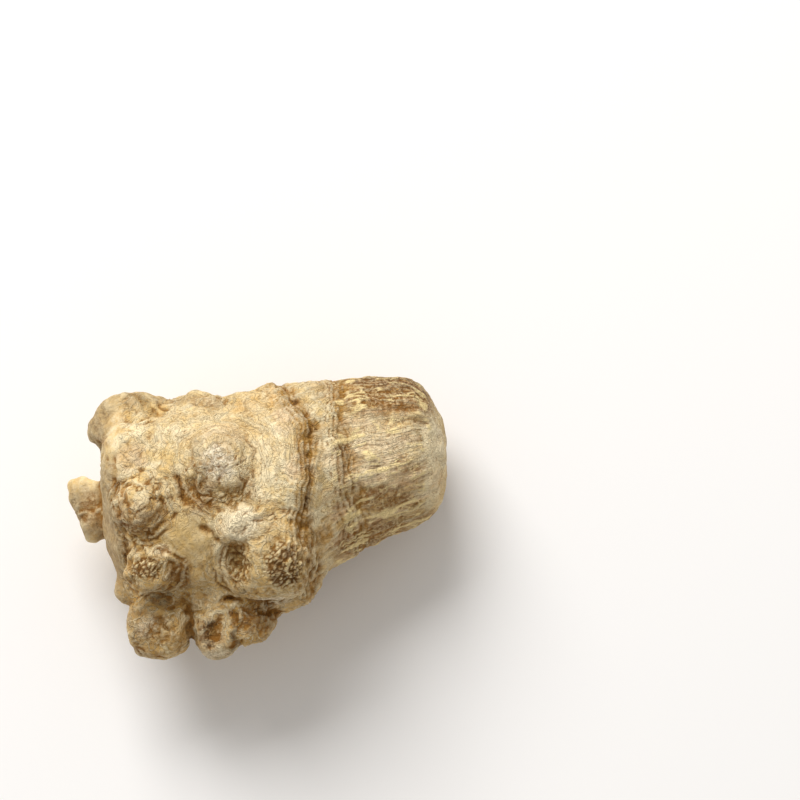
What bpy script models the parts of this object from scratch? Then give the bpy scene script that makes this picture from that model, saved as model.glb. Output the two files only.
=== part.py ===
"""A dried notoginseng root: one solid, knobbly taproot lying on its belly.

The shape is worked out in the root's own axes, in millimetres: +X runs from the knobbly crown to the
cut tail, +Y across the root, +Z out of its upper side. The finished skin is then tilted to the way the
root lies and scaled to metres, with the origin on the small flat spot that it rests on.
"""

import math

import bmesh
import bpy
import numpy as np
from mathutils import Matrix, Vector

NAME = "notoginseng_root"
MM = 0.001

# How the root lies: its own axes lean by this much, and this point of them touches the table
LEAN_DEG = 10.0
REST_POINT = (0.2, -0.6, -10.95)

# The taproot along its length: station X, then the middle's Y, the middle's Z and the half width
STATIONS = (-18.0, -14.5, -12.0, -9.6, -6.3, -2.4, 0.6, 3.6, 5.6, 7.6, 9.4, 13.5, 17.9, 22.0)
MIDDLE_Y = (0.5, 0.5, 0.5, 0.8, 1.1, 1.2, 1.5, 2.2, 3.0, 4.1, 5.0, 6.1, 7.2, 8.0)
MIDDLE_Z = (0.2, 0.3, 0.3, 0.1, -0.1, -0.2, -0.1, 0.0, -0.3, -0.9, -1.3, -2.0, -2.7, -3.3)
HALF_WIDTH = (9.0, 9.9, 10.9, 11.6, 12.0, 12.0, 12.1, 12.3, 11.8, 10.7, 10.0, 9.1, 8.1, 7.4)
DEPTH_SHARE = 0.93

# The two ends are domed: the dome's middle, the way it faces, its radius and how far its rim is rounded
CROWN_END = ((-17.1, 4.6, -1.0), (-1.0, 0.0, 0.0), 45.0, 5.0)
TAIL_END = ((21.0, 5.9, -4.0), (1.0, 0.0, 0.0), 13.0, 1.7)

# Each knob: middle (X, Y, Z), the way it points, its length and breadth radii, and the fillet at its foot
KNOBS = {
    "crown_upper": ((-14.0, 9.4, 1.6), (-0.75, 0.60, 0.25), 4.7, 3.7, 1.8),
    "crown_upper_tip": ((-17.0, 9.5, 0.6), (-0.90, 0.10, 0.20), 1.5, 1.2, 1.4),
    "crown_upper_shoulder": ((-11.7, 11.1, 1.2), (0.10, 0.95, 0.20), 2.1, 2.2, 1.8),
    "crown_bud": ((-18.8, 2.3, -2.6), (-0.95, 0.20, 0.10), 2.5, 2.3, 1.0),
    "crown_bud_lower": ((-18.0, -0.7, -2.8), (-0.90, -0.40, 0.10), 2.1, 2.1, 1.0),
    "lower_left": ((-10.4, -11.9, 3.4), (-0.35, -0.20, 0.90), 3.4, 3.6, 1.2),
    "lower_middle": ((-4.2, -12.8, 4.5), (0.10, -0.98, 0.10), 3.2, 2.6, 1.2),
    "lower_right": ((-0.6, -11.2, 4.8), (0.10, -0.10, 0.98), 2.8, 2.8, 1.2),
    "lower_ledge": ((1.8, -9.3, 3.0), (0.30, -0.90, 0.30), 1.6, 2.2, 1.6),
    "lower_saddle": ((-3.8, -8.8, 3.8), (0.00, -0.30, 0.95), 2.7, 3.0, 2.0),
    "broad_oval": ((-4.1, 6.3, 9.7), (0.00, 0.45, 0.90), 2.6, 3.0, 1.8),
    "broad_oval_foot": ((-3.8, 3.8, 10.1), (0.10, -0.20, 0.97), 2.0, 2.7, 1.6),
    "swirl": ((-12.4, 1.1, 9.0), (-0.45, 0.05, 0.90), 2.7, 3.0, 1.2),
    "smooth_shoulder": ((-13.4, 6.3, 6.0), (-0.50, 0.50, 0.70), 2.7, 3.0, 2.6),
    "eye": ((-11.4, -5.6, 8.5), (-0.35, -0.40, 0.85), 2.5, 2.7, 1.1),
    "large": ((1.3, -4.2, 8.8), (0.10, -0.35, 0.93), 3.5, 5.2, 1.1),
    "large_pale_lobe": ((-1.4, -0.9, 10.3), (-0.20, 0.10, 0.97), 2.1, 2.2, 1.6),
    "large_grainy_lobe": ((3.2, -5.2, 9.8), (0.30, -0.40, 0.87), 2.8, 2.8, 1.6),
    "large_foot": ((4.0, -7.2, 2.4), (0.45, -0.80, 0.30), 2.4, 3.2, 2.4),
    "upper_edge": ((-6.3, 11.6, 3.4), (-0.10, 0.90, 0.40), 1.8, 2.4, 1.6),
    "ring_bump": ((3.2, 12.4, 0.8), (0.10, 0.98, 0.10), 1.4, 2.4, 2.0),
    "ochre_dot": ((7.3, -1.4, 6.4), (0.30, -0.40, 0.87), 1.5, 1.4, 1.0),
    "rim_foot": ((-13.7, -7.9, 1.8), (-0.75, -0.60, 0.30), 1.7, 1.8, 1.4),
    "back_upper": ((-7.4, 11.4, -2.4), (-0.10, 0.95, -0.25), 2.0, 2.0, 1.2),
    "back_middle": ((-2.6, 8.8, -6.4), (0.00, 0.75, -0.66), 2.8, 2.7, 1.4),
    "back_tail": ((7.6, 10.0, -6.0), (0.30, 0.75, -0.60), 2.2, 2.0, 1.2),
    "belly_crown": ((-12.0, 5.0, -7.0), (-0.45, 0.40, -0.80), 3.0, 2.9, 1.4),
    "belly_front": ((-9.4, -7.6, -5.4), (-0.20, -0.75, -0.62), 3.3, 3.1, 1.4),
    "belly_rim": ((-14.0, -3.4, -5.6), (-0.75, -0.25, -0.60), 2.4, 2.5, 1.2),
    "belly_large": ((3.6, -6.4, -6.4), (0.25, -0.66, -0.70), 2.7, 2.4, 1.2),
    "belly_tail": ((10.4, -1.0, -5.6), (0.45, -0.60, -0.66), 2.4, 2.0, 1.2),
}
KNOB_WARP = 0.4
KNOB_WARP_SIZE = 3.6

# How strongly a knob is folded, where it isn't the usual share
FOLDS = {
    "lower_left": 0.5, "lower_middle": 0.2, "lower_right": 0.7, "broad_oval": 0.2, "broad_oval_foot": 0.7,
    "swirl": 0.9, "eye": 0.8, "large": 0.4, "lower_saddle": 0.1,
}
USUAL_FOLDS = 0.3

# Pits sunk in the skin: middle, then the radii along X, along Y and in depth
PITS = (
    ((-2.4, -5.2, 11.4), (1.2, 2.4, 1.5)),
    ((-17.6, 4.6, -4.6), (1.2, 2.4, 2.4)),
    ((-17.0, 7.2, 2.2), (0.9, 0.9, 0.9)),
    ((-7.4, -9.6, 8.6), (2.6, 1.5, 2.0)),
    ((-4.8, -12.9, 7.7), (0.9, 1.2, 1.2)),
)
PIT_FILLET = 1.4

# Scars where rootlets broke off: an uneven cup with a low rim at the tip of these knobs
SCARRED = (
    "crown_upper", "crown_bud_lower", "lower_left", "lower_right", "large_grainy_lobe", "ochre_dot",
    "back_middle", "back_tail", "belly_crown", "belly_front", "belly_large",
)
SCAR_SPREAD = 0.62
SCAR_DEPTH = 0.38
SCAR_RIM_PLACE = 1.25
SCAR_RIM_WIDTH = 0.30
SCAR_RIM_SHARE = 0.30
SCAR_RAGGED = 0.25
SCAR_REACH = (1.2, 0.4)

# The two ring folds round the root: clock angle from the upper side towards +Y, then each fold's X there
RING_CLOCK = (-180.0, -130.0, -85.0, -45.0, -15.0, 10.0, 30.0, 55.0, 90.0, 130.0)
RING_ONE_X = (4.6, 5.6, 6.9, 6.1, 5.4, 6.3, 6.4, 4.7, 2.4, 3.0)
RING_TWO_X = (10.2, 10.8, 12.2, 11.6, 10.9, 10.2, 9.4, 9.4, 8.6, 9.0)
RING_ONE_DEPTH = 0.50
RING_TWO_DEPTH = 0.30
RING_GROOVE_WIDTH = 0.65
RING_GROOVE_SHARE = 1.2
RING_LIP_WIDTH = 1.1
RING_LIP_SHARE = 0.5
RING_LIP_OFFSET = 1.5
RING_WANDER = 0.4
RING_BROKEN = (0.6, 0.8)
RING_DEPTH_RANGE = (0.1, 1.3)

# Creases on the upper side: their points (X, Y), then depth and half width
CREASES = (
    (((-8.4, 4.4), (-8.0, 2.6), (-7.2, 0.9), (-6.0, -0.6), (-4.6, -1.8), (-3.6, -2.6)), 0.50, 0.45),
    (((-3.6, -9.0), (-1.4, -9.5), (0.6, -10.2), (2.4, -10.6)), 0.75, 0.50),
    (((-2.6, -9.4), (-2.3, -11.8), (-2.0, -14.8)), 0.60, 0.40),
    (((-7.4, -10.4), (-7.1, -12.4), (-7.0, -14.4)), 0.35, 0.40),
    (((-15.8, 6.2), (-15.2, 3.4), (-14.8, 0.6), (-14.2, -2.7), (-13.2, -8.4)), 0.45, 0.40),
)
CREASE_WANDER = 0.3
CREASE_SIDE = (-1.0, 2.0)
CREASE_BROKEN = (-0.6, 0.3)

# Lengthwise wrinkles of the tail: where they start, are full, thin out and end, their pitch and length
TAIL_WRINKLE_REACH = (6.5, 9.5, 18.2, 19.6)
TAIL_WRINKLE_RAGGED = 1.2
TAIL_WRINKLE_RADIUS = 9.5
TAIL_WRINKLE_PITCH = 1.3
TAIL_WRINKLE_LENGTH = 6.5
TAIL_WRINKLE_DEPTH = 0.18
TAIL_WRINKLE_MEAN = 0.5
TAIL_WRINKLE_LEAST = 0.35

# Folds that ring each knob's foot, and the lumps on it
KNOB_RING_PITCH = 0.9
KNOB_RING_DEPTH = 0.13
KNOB_RING_SHARE = 0.6
KNOB_RING_REACH = 2.4
KNOB_RING_SHARED = 0.8
KNOB_RING_WANDER = 0.8
KNOB_RING_BROKEN = (-0.5, 0.3)
KNOB_RING_FROM_TIP = (25.0, 60.0)
KNOB_LUMP_SIZE = 1.15
KNOB_LUMP_HEIGHT = 0.15

# The uneven skin everywhere: size and height of its lumps and of its grain
SKIN_LUMP = (5.5, 0.40)
SKIN_GRAIN = (1.5, 0.16)

# The skin's mesh: the spheres it starts from (points round, rows), voxel size, steps that draw it onto
# the form, and the triangles kept at the end
TAPROOT_SPHERE = (48, 40)
KNOB_SPHERE = (24, 16)
VOXEL = 0.42
FITTING_STEPS = 6
SLOPE_STEP = 0.02
LEAST_SLOPE = 0.05
TRIANGLES_KEPT = 10400
TINY = 1e-6

NOISE_SEED = 27
NOISE_CELLS = 256
NOISE_GAIN = 1.6


def smooth_curve(at, knots, values):
    """A smooth curve through values at knots, in cubic pieces with the mean slope of their neighbours."""
    knots = np.asarray(knots)
    values = np.asarray(values)
    slopes = np.gradient(values, knots)
    index = np.clip(np.searchsorted(knots, at) - 1, 0, len(knots) - 2)
    width = knots[index + 1] - knots[index]
    t = np.clip((at - knots[index]) / width, 0.0, 1.0)
    return (
        (1 + 2 * t) * (1 - t) ** 2 * values[index]
        + t * (1 - t) ** 2 * width * slopes[index]
        + t**2 * (3 - 2 * t) * values[index + 1]
        + t**2 * (t - 1) * width * slopes[index + 1]
    )


def ring_station(clock, stations):
    """The station of a ring fold at a clock angle, as a closed curve round the root."""
    angles = (RING_CLOCK[-1] - 360.0,) + RING_CLOCK + (RING_CLOCK[0] + 360.0, RING_CLOCK[1] + 360.0)
    return smooth_curve(clock, angles, stations[-1:] + stations + stations[:2])


def smooth_step(low, high, value):
    """0 on low's side, 1 on high's side, and an even slope between."""
    t = np.clip((value - low) / (high - low), 0.0, 1.0)
    return t * t * (3 - 2 * t)


def bump(across, width):
    """A bell of height 1 that is this wide on each side."""
    return np.exp(-((across / width) ** 2))


def blend_union(a, b, fillet):
    """The nearer of two distances, rounded where they meet."""
    meeting = np.maximum(fillet - np.abs(a - b), 0.0) / fillet
    return np.minimum(a, b) - meeting**2 * fillet / 4


def blend_cut(a, b, fillet):
    """The further of two distances, rounded where they meet."""
    return -blend_union(-a, -b, fillet)


def unit(way):
    """The direction of a way, at length 1."""
    return np.array(way) / np.linalg.norm(way)


class Noise:
    """Gradient noise on a lattice of seeded directions, from about -1 to 1."""

    def __init__(self, seed):
        random = np.random.default_rng(seed)
        self.order = random.permutation(NOISE_CELLS)
        ways = random.normal(size=(NOISE_CELLS, 3))
        self.ways = ways / np.linalg.norm(ways, axis=1, keepdims=True)

    def at(self, points):
        """The noise at each point: the eight corners' slopes, eased into each other across the cell."""
        cell = np.floor(points).astype(int)
        inside = points - cell
        ease = inside**3 * (inside * (inside * 6 - 15) + 10)
        total = np.zeros(len(points))
        for corner in np.ndindex(2, 2, 2):
            x, y, z = ((cell + corner) % NOISE_CELLS).T
            pick = self.order[(self.order[(self.order[x] + y) % NOISE_CELLS] + z) % NOISE_CELLS]
            share = np.prod(np.where(np.array(corner) == 1, ease, 1 - ease), axis=1)
            total += share * np.sum(self.ways[pick] * (inside - corner), axis=1)
        return total * NOISE_GAIN

    def push(self, points):
        """Three unrelated noises, as a push for each point."""
        return np.stack([self.at(points + shift) for shift in (0.0, 31.4, 62.8)], axis=1)


NOISE = Noise(NOISE_SEED)


def spine(x):
    """The middle's Y and Z and the half width of the taproot at station x."""
    return (
        smooth_curve(x, STATIONS, MIDDLE_Y),
        smooth_curve(x, STATIONS, MIDDLE_Z),
        smooth_curve(x, STATIONS, HALF_WIDTH),
    )


def taproot_distance(points):
    """Distance from the plain taproot: a tapering oval tube that two domes close."""
    y, z, half = spine(points[:, 0])
    across = np.hypot(points[:, 1] - y, (points[:, 2] - z) / DEPTH_SHARE)
    distance = (across - half) * DEPTH_SHARE
    for middle, facing, radius, rounding in (CROWN_END, TAIL_END):
        reach = points - middle
        beyond = reach @ np.array(facing)
        dome = beyond + (np.sum(reach**2, axis=1) - beyond**2) / (2 * radius)
        distance = blend_cut(distance, dome, rounding)
    return distance


def knob_distance(points, knob):
    """Distance from a knob, which is an egg of two radii turned the way that it points."""
    middle, way, length, breadth, _ = knob
    reach = points - middle
    along = reach @ unit(way)
    aside = np.sqrt(np.maximum(np.sum(reach**2, axis=1) - along**2, 0.0))
    near = np.hypot(along / length, aside / breadth)
    slope = np.hypot(along / length**2, aside / breadth**2)
    return near * (near - 1) / np.maximum(slope, TINY)


def pit_distance(points, pit):
    """Distance from the oval hollow of a pit."""
    middle, radii = pit
    reach = (points - middle) / np.array(radii)
    near = np.linalg.norm(reach, axis=1)
    slope = np.linalg.norm(reach / np.array(radii), axis=1)
    return near * (near - 1) / np.maximum(slope, TINY)


def root_distance(points):
    """Distance from the whole root: the taproot, its uneven knobs rounded into it, and its pits."""
    distance = taproot_distance(points)
    uneven = points + KNOB_WARP * NOISE.push(points / KNOB_WARP_SIZE)
    for knob in KNOBS.values():
        middle, _, length, breadth, fillet = knob
        near = np.linalg.norm(uneven - middle, axis=1) < max(length, breadth) + 2 * fillet
        distance[near] = blend_union(distance[near], knob_distance(uneven[near], knob), fillet)
    for pit in PITS:
        distance = blend_cut(distance, -pit_distance(points, pit), PIT_FILLET)
    return distance


def slope_of_distance(points):
    """How fast the distance grows at each point along each axis."""
    slopes = [
        (root_distance(points + step) - root_distance(points - step)) / (2 * SLOPE_STEP)
        for step in np.eye(3) * SLOPE_STEP
    ]
    return np.stack(slopes, axis=1)


def crease_distance(points, route):
    """Distance across the upper side from a crease's route, seen along Z."""
    nearest = np.full(len(points), np.inf)
    for start, end in zip(route, route[1:]):
        start = np.array(start)
        run = np.array(end) - start
        share = np.clip((points[:, :2] - start) @ run / (run @ run), 0.0, 1.0)
        off = points[:, :2] - start - share[:, None] * run
        nearest = np.minimum(nearest, np.linalg.norm(off, axis=1))
    return nearest


def crease_relief(points):
    """Height of the broken creases between the knobs of the upper side, all below zero."""
    wandering = points + CREASE_WANDER * NOISE.at(points)[:, None]
    height = np.zeros(len(points))
    for route, depth, width in CREASES:
        height -= depth * bump(crease_distance(wandering, route), width)
    broken = smooth_step(*CREASE_BROKEN, NOISE.at(points * 0.8 + 37.0))
    return height * broken * smooth_step(*CREASE_SIDE, points[:, 2])


def ring_relief(points, clock, stations, depth):
    """Height of a ring fold: a broken groove with a raised lip on its crown side."""
    wandering = NOISE.at(points * 0.45) + 0.5 * NOISE.at(points * 1.1 + 51.0)
    across = points[:, 0] - ring_station(clock, stations) + RING_WANDER * wandering
    mean, swing = RING_BROKEN
    broken = np.clip(mean + swing * NOISE.at(points * 0.8 + 11.0), *RING_DEPTH_RANGE)
    groove = RING_GROOVE_SHARE * broken * bump(across, RING_GROOVE_WIDTH)
    lip = RING_LIP_SHARE * bump(across + RING_LIP_OFFSET, RING_LIP_WIDTH)
    return depth * (lip - groove)


def tail_relief(points, clock):
    """Height of the tail's wrinkles: sharp lengthwise ridges between wide furrows, deeper in places."""
    x = points[:, 0]
    turn = np.radians(clock)
    across = TAIL_WRINKLE_RADIUS / TAIL_WRINKLE_PITCH
    place = np.column_stack([np.cos(turn) * across, np.sin(turn) * across, x / TAIL_WRINKLE_LENGTH])
    ridge = 1 - 2 * np.abs(NOISE.at(place + 3.0))
    start, full, thin, end = TAIL_WRINKLE_REACH
    ragged = x + TAIL_WRINKLE_RAGGED * NOISE.at(points * 0.4 + 61.0)
    share = smooth_step(start, full, ragged) * smooth_step(end, thin, ragged)
    deeper = smooth_step(-0.4, 0.4, NOISE.at(points * 0.35 + 29.0))
    share *= TAIL_WRINKLE_LEAST + (1 - TAIL_WRINKLE_LEAST) * deeper
    return TAIL_WRINKLE_DEPTH * share * (ridge - TAIL_WRINKLE_MEAN)


def knob_relief(points):
    """Height of the folds that ring each knob's foot, of its lumps, and of the cup at each scarred tip."""
    height = np.zeros(len(points))
    lumps = NOISE.at(points / KNOB_LUMP_SIZE + 19.0)
    beyond = [
        np.linalg.norm(points - middle, axis=1) - max(length, breadth)
        for middle, _, length, breadth, _ in KNOBS.values()
    ]
    nearest = np.min(beyond, axis=0)
    for place, (name, (middle, way, length, breadth, _)) in enumerate(KNOBS.items()):
        folds = FOLDS.get(name, USUAL_FOLDS)
        size = max(length, breadth)
        reach = points - middle
        distance = np.linalg.norm(reach, axis=1)
        tip = np.degrees(np.arccos(np.clip(reach @ unit(way) / np.maximum(distance, TINY), -1.0, 1.0)))
        near = smooth_step(KNOB_RING_REACH, 0.0, distance - size)
        near *= smooth_step(KNOB_RING_SHARED, 0.0, distance - size - nearest)
        turn = distance / KNOB_RING_PITCH + KNOB_RING_WANDER * NOISE.at(points * 0.5 + place)
        broken = smooth_step(*KNOB_RING_BROKEN, NOISE.at(points * 0.4 + place))
        ringed = near * broken * smooth_step(*KNOB_RING_FROM_TIP, tip) * np.sin(2 * math.pi * turn)
        height += KNOB_RING_DEPTH * (KNOB_RING_SHARE + folds) * ringed
        height += KNOB_LUMP_HEIGHT * folds * near * lumps
        if name in SCARRED:
            off = np.sin(np.radians(np.minimum(tip, 90.0))) / SCAR_SPREAD
            off += SCAR_RAGGED * NOISE.at(points * 0.7)
            rim = SCAR_RIM_SHARE * bump(off - SCAR_RIM_PLACE, SCAR_RIM_WIDTH)
            outer, inner = SCAR_REACH
            cupped = smooth_step(size + outer, size + inner, distance) * (tip < 90)
            height += SCAR_DEPTH * cupped * (rim - np.exp(-(off**4)))
    return height


def relief(points):
    """Height of everything raised on the skin or sunk in it, measured out of the smooth form."""
    y, z, _ = spine(points[:, 0])
    clock = np.degrees(np.arctan2(points[:, 1] - y, (points[:, 2] - z) / DEPTH_SHARE))
    lump_size, lump_height = SKIN_LUMP
    grain_size, grain_height = SKIN_GRAIN
    return (
        lump_height * (NOISE.at(points / lump_size) + 0.5 * NOISE.at(2 * points / lump_size + 7.3))
        + grain_height * NOISE.at(points / grain_size + 5.0)
        + ring_relief(points, clock, RING_ONE_X, RING_ONE_DEPTH)
        + ring_relief(points, clock, RING_TWO_X, RING_TWO_DEPTH)
        + tail_relief(points, clock)
        + knob_relief(points)
        + crease_relief(points)
    )


def add_taproot(bm):
    """A sphere drawn out along the spine, for the taproot before its skin is fitted."""
    around, rows = TAPROOT_SPHERE
    made = bmesh.ops.create_uvsphere(bm, u_segments=around, v_segments=rows, radius=1.0)
    start, end = CROWN_END[0][0], TAIL_END[0][0]
    for vertex in made["verts"]:
        x = start + (end - start) * (vertex.co.z + 1) / 2
        y, z, half = (float(value[0]) for value in spine(np.array([x])))
        ring = Vector((vertex.co.x, vertex.co.y))
        fullness = (1 - abs(vertex.co.z) ** 8) ** 0.5
        ring = ring.normalized() * fullness if ring.length > TINY else ring
        vertex.co = (x, y + ring.y * half, z + ring.x * half * DEPTH_SHARE)


def add_knob(bm, knob):
    """A sphere stretched to a knob's two radii and turned the way that it points."""
    middle, way, length, breadth, _ = knob
    turn = Vector(way).to_track_quat("Z", "Y").to_matrix().to_4x4()
    shape = Matrix.Diagonal((breadth, breadth, length, 1.0))
    around, rows = KNOB_SPHERE
    place = Matrix.Translation(middle) @ turn @ shape
    bmesh.ops.create_uvsphere(bm, u_segments=around, v_segments=rows, radius=1.0, matrix=place)


def changed(mesh, kind, settings, collection):
    """The mesh after one modifier, given by its kind and its settings."""
    holder = bpy.data.objects.new(kind.lower(), mesh)
    collection.objects.link(holder)
    modifier = holder.modifiers.new(kind.lower(), kind)
    for name, value in settings.items():
        setattr(modifier, name, value)
    graph = bpy.context.evaluated_depsgraph_get()
    result = bpy.data.meshes.new_from_object(holder.evaluated_get(graph))
    bpy.data.objects.remove(holder)
    return result


def joined_skin(collection):
    """One closed skin round the taproot and all its knobs, in the root's own axes."""
    bm = bmesh.new()
    add_taproot(bm)
    for knob in KNOBS.values():
        add_knob(bm, knob)
    bmesh.ops.recalc_face_normals(bm, faces=bm.faces)
    mesh = bpy.data.meshes.new("lumps")
    bm.to_mesh(mesh)
    bm.free()
    return changed(mesh, "REMESH", {"mode": "VOXEL", "voxel_size": VOXEL}, collection)


def shape_skin(skin):
    """Draws the skin onto the root's smooth form, then raises the relief from it."""
    points = np.empty(len(skin.vertices) * 3)
    skin.vertices.foreach_get("co", points)
    points = points.reshape(-1, 3)
    for _ in range(FITTING_STEPS):
        slope = slope_of_distance(points)
        steepness = np.maximum(np.sum(slope**2, axis=1), LEAST_SLOPE)
        points -= (root_distance(points) / steepness)[:, None] * slope
    slope = slope_of_distance(points)
    points += slope / np.linalg.norm(slope, axis=1, keepdims=True) * relief(points)[:, None]
    skin.vertices.foreach_set("co", points.ravel())
    skin.update()


def thinned(skin, collection):
    """The skin made even again, then with fewer faces: flat stretches lose most, ridges least."""
    even = changed(skin, "REMESH", {"mode": "VOXEL", "voxel_size": VOXEL}, collection)
    ratio = TRIANGLES_KEPT / (2 * len(even.polygons))
    return changed(even, "DECIMATE", {"ratio": ratio}, collection)


def lay_down(mesh):
    """Leans the skin to the way the root lies, in metres, with the rest point at the origin."""
    lean = Matrix.Rotation(math.radians(LEAN_DEG), 4, "X")
    mesh.transform(Matrix.Scale(MM, 4) @ lean @ Matrix.Translation(-Vector(REST_POINT)))


def flatten_rest_spot(mesh):
    """Cuts the belly off level with the table and closes it, which leaves the flat spot."""
    bm = bmesh.new()
    bm.from_mesh(mesh)
    cut = bmesh.ops.bisect_plane(
        bm,
        geom=bm.verts[:] + bm.edges[:] + bm.faces[:],
        dist=TINY,
        plane_co=(0, 0, 0),
        plane_no=(0, 0, -1),
        clear_outer=True,
    )
    rim = [edge for edge in cut["geom_cut"] if isinstance(edge, bmesh.types.BMEdge)]
    bmesh.ops.edgeloop_fill(bm, edges=rim)
    bmesh.ops.recalc_face_normals(bm, faces=bm.faces)
    bm.to_mesh(mesh)
    bm.free()


def bark_material():
    """Dry, pale yellow-brown bark."""
    material = bpy.data.materials.new("dried_bark")
    material.use_nodes = True
    shader = material.node_tree.nodes["Principled BSDF"]
    shader.inputs["Base Color"].default_value = (0.50, 0.37, 0.19, 1.0)
    shader.inputs["Roughness"].default_value = 0.85
    shader.inputs["Metallic"].default_value = 0.0
    return material


def main():
    """Builds the root in a collection of its own."""
    for obj in list(bpy.data.objects):
        bpy.data.objects.remove(obj)
    collection = bpy.data.collections.new(NAME)
    bpy.context.scene.collection.children.link(collection)
    skin = joined_skin(collection)
    shape_skin(skin)
    mesh = thinned(skin, collection)
    lay_down(mesh)
    flatten_rest_spot(mesh)
    mesh.name = NAME
    mesh.materials.clear()
    mesh.materials.append(bark_material())
    mesh.shade_smooth()
    root = bpy.data.objects.new(NAME, mesh)
    collection.objects.link(root)


main()
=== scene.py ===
"""A dried notoginseng root on a pale studio floor: its fine skin, its bark finish, the light and the camera.

The root is one piece. Its skin repeats the form of the solid from the same named sizes on a much finer
mesh, then adds the wrinkles, furrows and grit of the dried bark, and marks where they run so that the
finish can colour them. Sizes are millimetres in the root's own axes (+X from the crown to the tail, +Y
across, +Z out of the upper side) until the skin is laid down in metres where the solid lies.
"""

from __future__ import annotations

import logging
import math
from dataclasses import dataclass, field
from enum import Enum

import bpy
import numpy as np
from mathutils import Matrix, Vector

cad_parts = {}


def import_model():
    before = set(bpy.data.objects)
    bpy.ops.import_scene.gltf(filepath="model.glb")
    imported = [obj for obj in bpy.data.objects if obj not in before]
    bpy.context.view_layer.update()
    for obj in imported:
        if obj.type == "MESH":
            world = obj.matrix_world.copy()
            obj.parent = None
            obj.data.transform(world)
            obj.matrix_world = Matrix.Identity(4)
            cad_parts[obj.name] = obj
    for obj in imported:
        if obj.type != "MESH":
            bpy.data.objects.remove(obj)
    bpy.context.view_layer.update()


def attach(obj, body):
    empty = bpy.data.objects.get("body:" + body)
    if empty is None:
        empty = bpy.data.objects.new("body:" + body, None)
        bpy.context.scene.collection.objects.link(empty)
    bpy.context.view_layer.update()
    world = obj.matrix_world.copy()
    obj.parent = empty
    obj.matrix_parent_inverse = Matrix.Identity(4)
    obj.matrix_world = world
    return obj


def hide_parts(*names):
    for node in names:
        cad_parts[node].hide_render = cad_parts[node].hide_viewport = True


LOG = logging.getLogger("root")
Array = np.ndarray
Point = tuple[float, float, float]
Span = tuple[float, float]
Row = tuple[float, ...]
Colour = tuple[float, float, float, float]
Grid = tuple[Array, list[list[int]]]
Mesh = bpy.types.Mesh
Socket = bpy.types.NodeSocket

NAME = "notoginseng_root"
SKIN_NAME = "root_skin"
BODY = "root"
MM = 0.001
TINY = 1e-6
MIX_A, MIX_B, MIX_RESULT = 6, 7, 2
GRAIN_SHAKE = 0.42
GRAIN_EDGE = 0.5


def smooth_curve(at: Array, knots: Row, values: Row) -> Array:
    """A smooth curve through knots: cubic pieces, sloped at each knot as its neighbours are on average.

    Args:
        at: Where the curve is wanted.
        knots: Rising places along the curve.
        values: The curve's value at each knot.

    Returns:
        The value at each place, the outermost piece being held beyond the ends.
    """
    places = np.asarray(knots)
    heights = np.asarray(values)
    slopes = np.gradient(heights, places)
    index = np.clip(np.searchsorted(places, at) - 1, 0, len(places) - 2)
    width = places[index + 1] - places[index]
    t = np.clip((at - places[index]) / width, 0.0, 1.0)
    return (
        (1 + 2 * t) * (1 - t) ** 2 * heights[index]
        + t * (1 - t) ** 2 * width * slopes[index]
        + t**2 * (3 - 2 * t) * heights[index + 1]
        + t**2 * (t - 1) * width * slopes[index + 1]
    )


def smooth_step(low: float, high: float, value: Array) -> Array:
    """0 on low's side, 1 on high's side, and three t squared less two t cubed between."""
    t = np.clip((value - low) / (high - low), 0.0, 1.0)
    return t * t * (3 - 2 * t)


def bump(across: Array, width: float) -> Array:
    """A bell: e to the minus square of the distance across over its width."""
    return np.exp(-((across / width) ** 2))


def blend_union(a: Array, b: Array, fillet: float) -> Array:
    """The lesser of two distances, less a quarter fillet times the square of how nearly they are equal."""
    meeting = np.maximum(fillet - np.abs(a - b), 0.0) / fillet
    return np.minimum(a, b) - meeting**2 * fillet / 4


def blend_cut(a: Array, b: Array, fillet: float) -> Array:
    """The greater of two distances, rounded where they meet."""
    return -blend_union(-a, -b, fillet)


def unit(way: Point) -> Array:
    """The direction of a way, at length 1."""
    return np.array(way) / np.linalg.norm(way)


def outside_oval(near: Array, slope: Array) -> Array:
    """About how far a point is outside an oval, where near is 1: near times near less 1, over the slope."""
    return near * (near - 1) / np.maximum(slope, TINY)


@dataclass
class Noise:
    """Gradient noise on a lattice of seeded directions, from about -1 to 1."""

    seed: int = 27
    cells: int = 256
    gain: float = 1.6
    order: Array = field(init=False)
    ways: Array = field(init=False)

    def __post_init__(self) -> None:
        """Draws the lattice's order and its directions."""
        random = np.random.default_rng(self.seed)
        self.order = random.permutation(self.cells)
        ways = random.normal(size=(self.cells, 3))
        self.ways = ways / np.linalg.norm(ways, axis=1, keepdims=True)

    def way(self, corner: Array) -> Array:
        """The direction at each corner of the lattice, looked up by its X, then its Y, then its Z."""
        x, y, z = (corner % self.cells).T
        return self.ways[self.order[(self.order[(self.order[x] + y) % self.cells] + z) % self.cells]]

    def at(self, points: Array) -> Array:
        """The noise at each point: the eight corners' slopes, eased into each other across the cell.

        Args:
            points: Points in lattice cells.

        Returns:
            One number for each point.
        """
        cell = np.floor(points).astype(int)
        inside = points - cell
        ease = inside**3 * (inside * (inside * 6 - 15) + 10)
        total = np.zeros(len(points))
        for corner in np.ndindex(2, 2, 2):
            share = np.prod(np.where(np.array(corner) == 1, ease, 1 - ease), axis=1)
            total += share * np.sum(self.way(cell + corner) * (inside - corner), axis=1)
        return total * self.gain

    def push(self, points: Array) -> Array:
        """Three unrelated noises, as a push for each point."""
        return np.stack([self.at(points + shift) for shift in (0.0, 31.4, 62.8)], axis=1)


NOISE = Noise()


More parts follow.
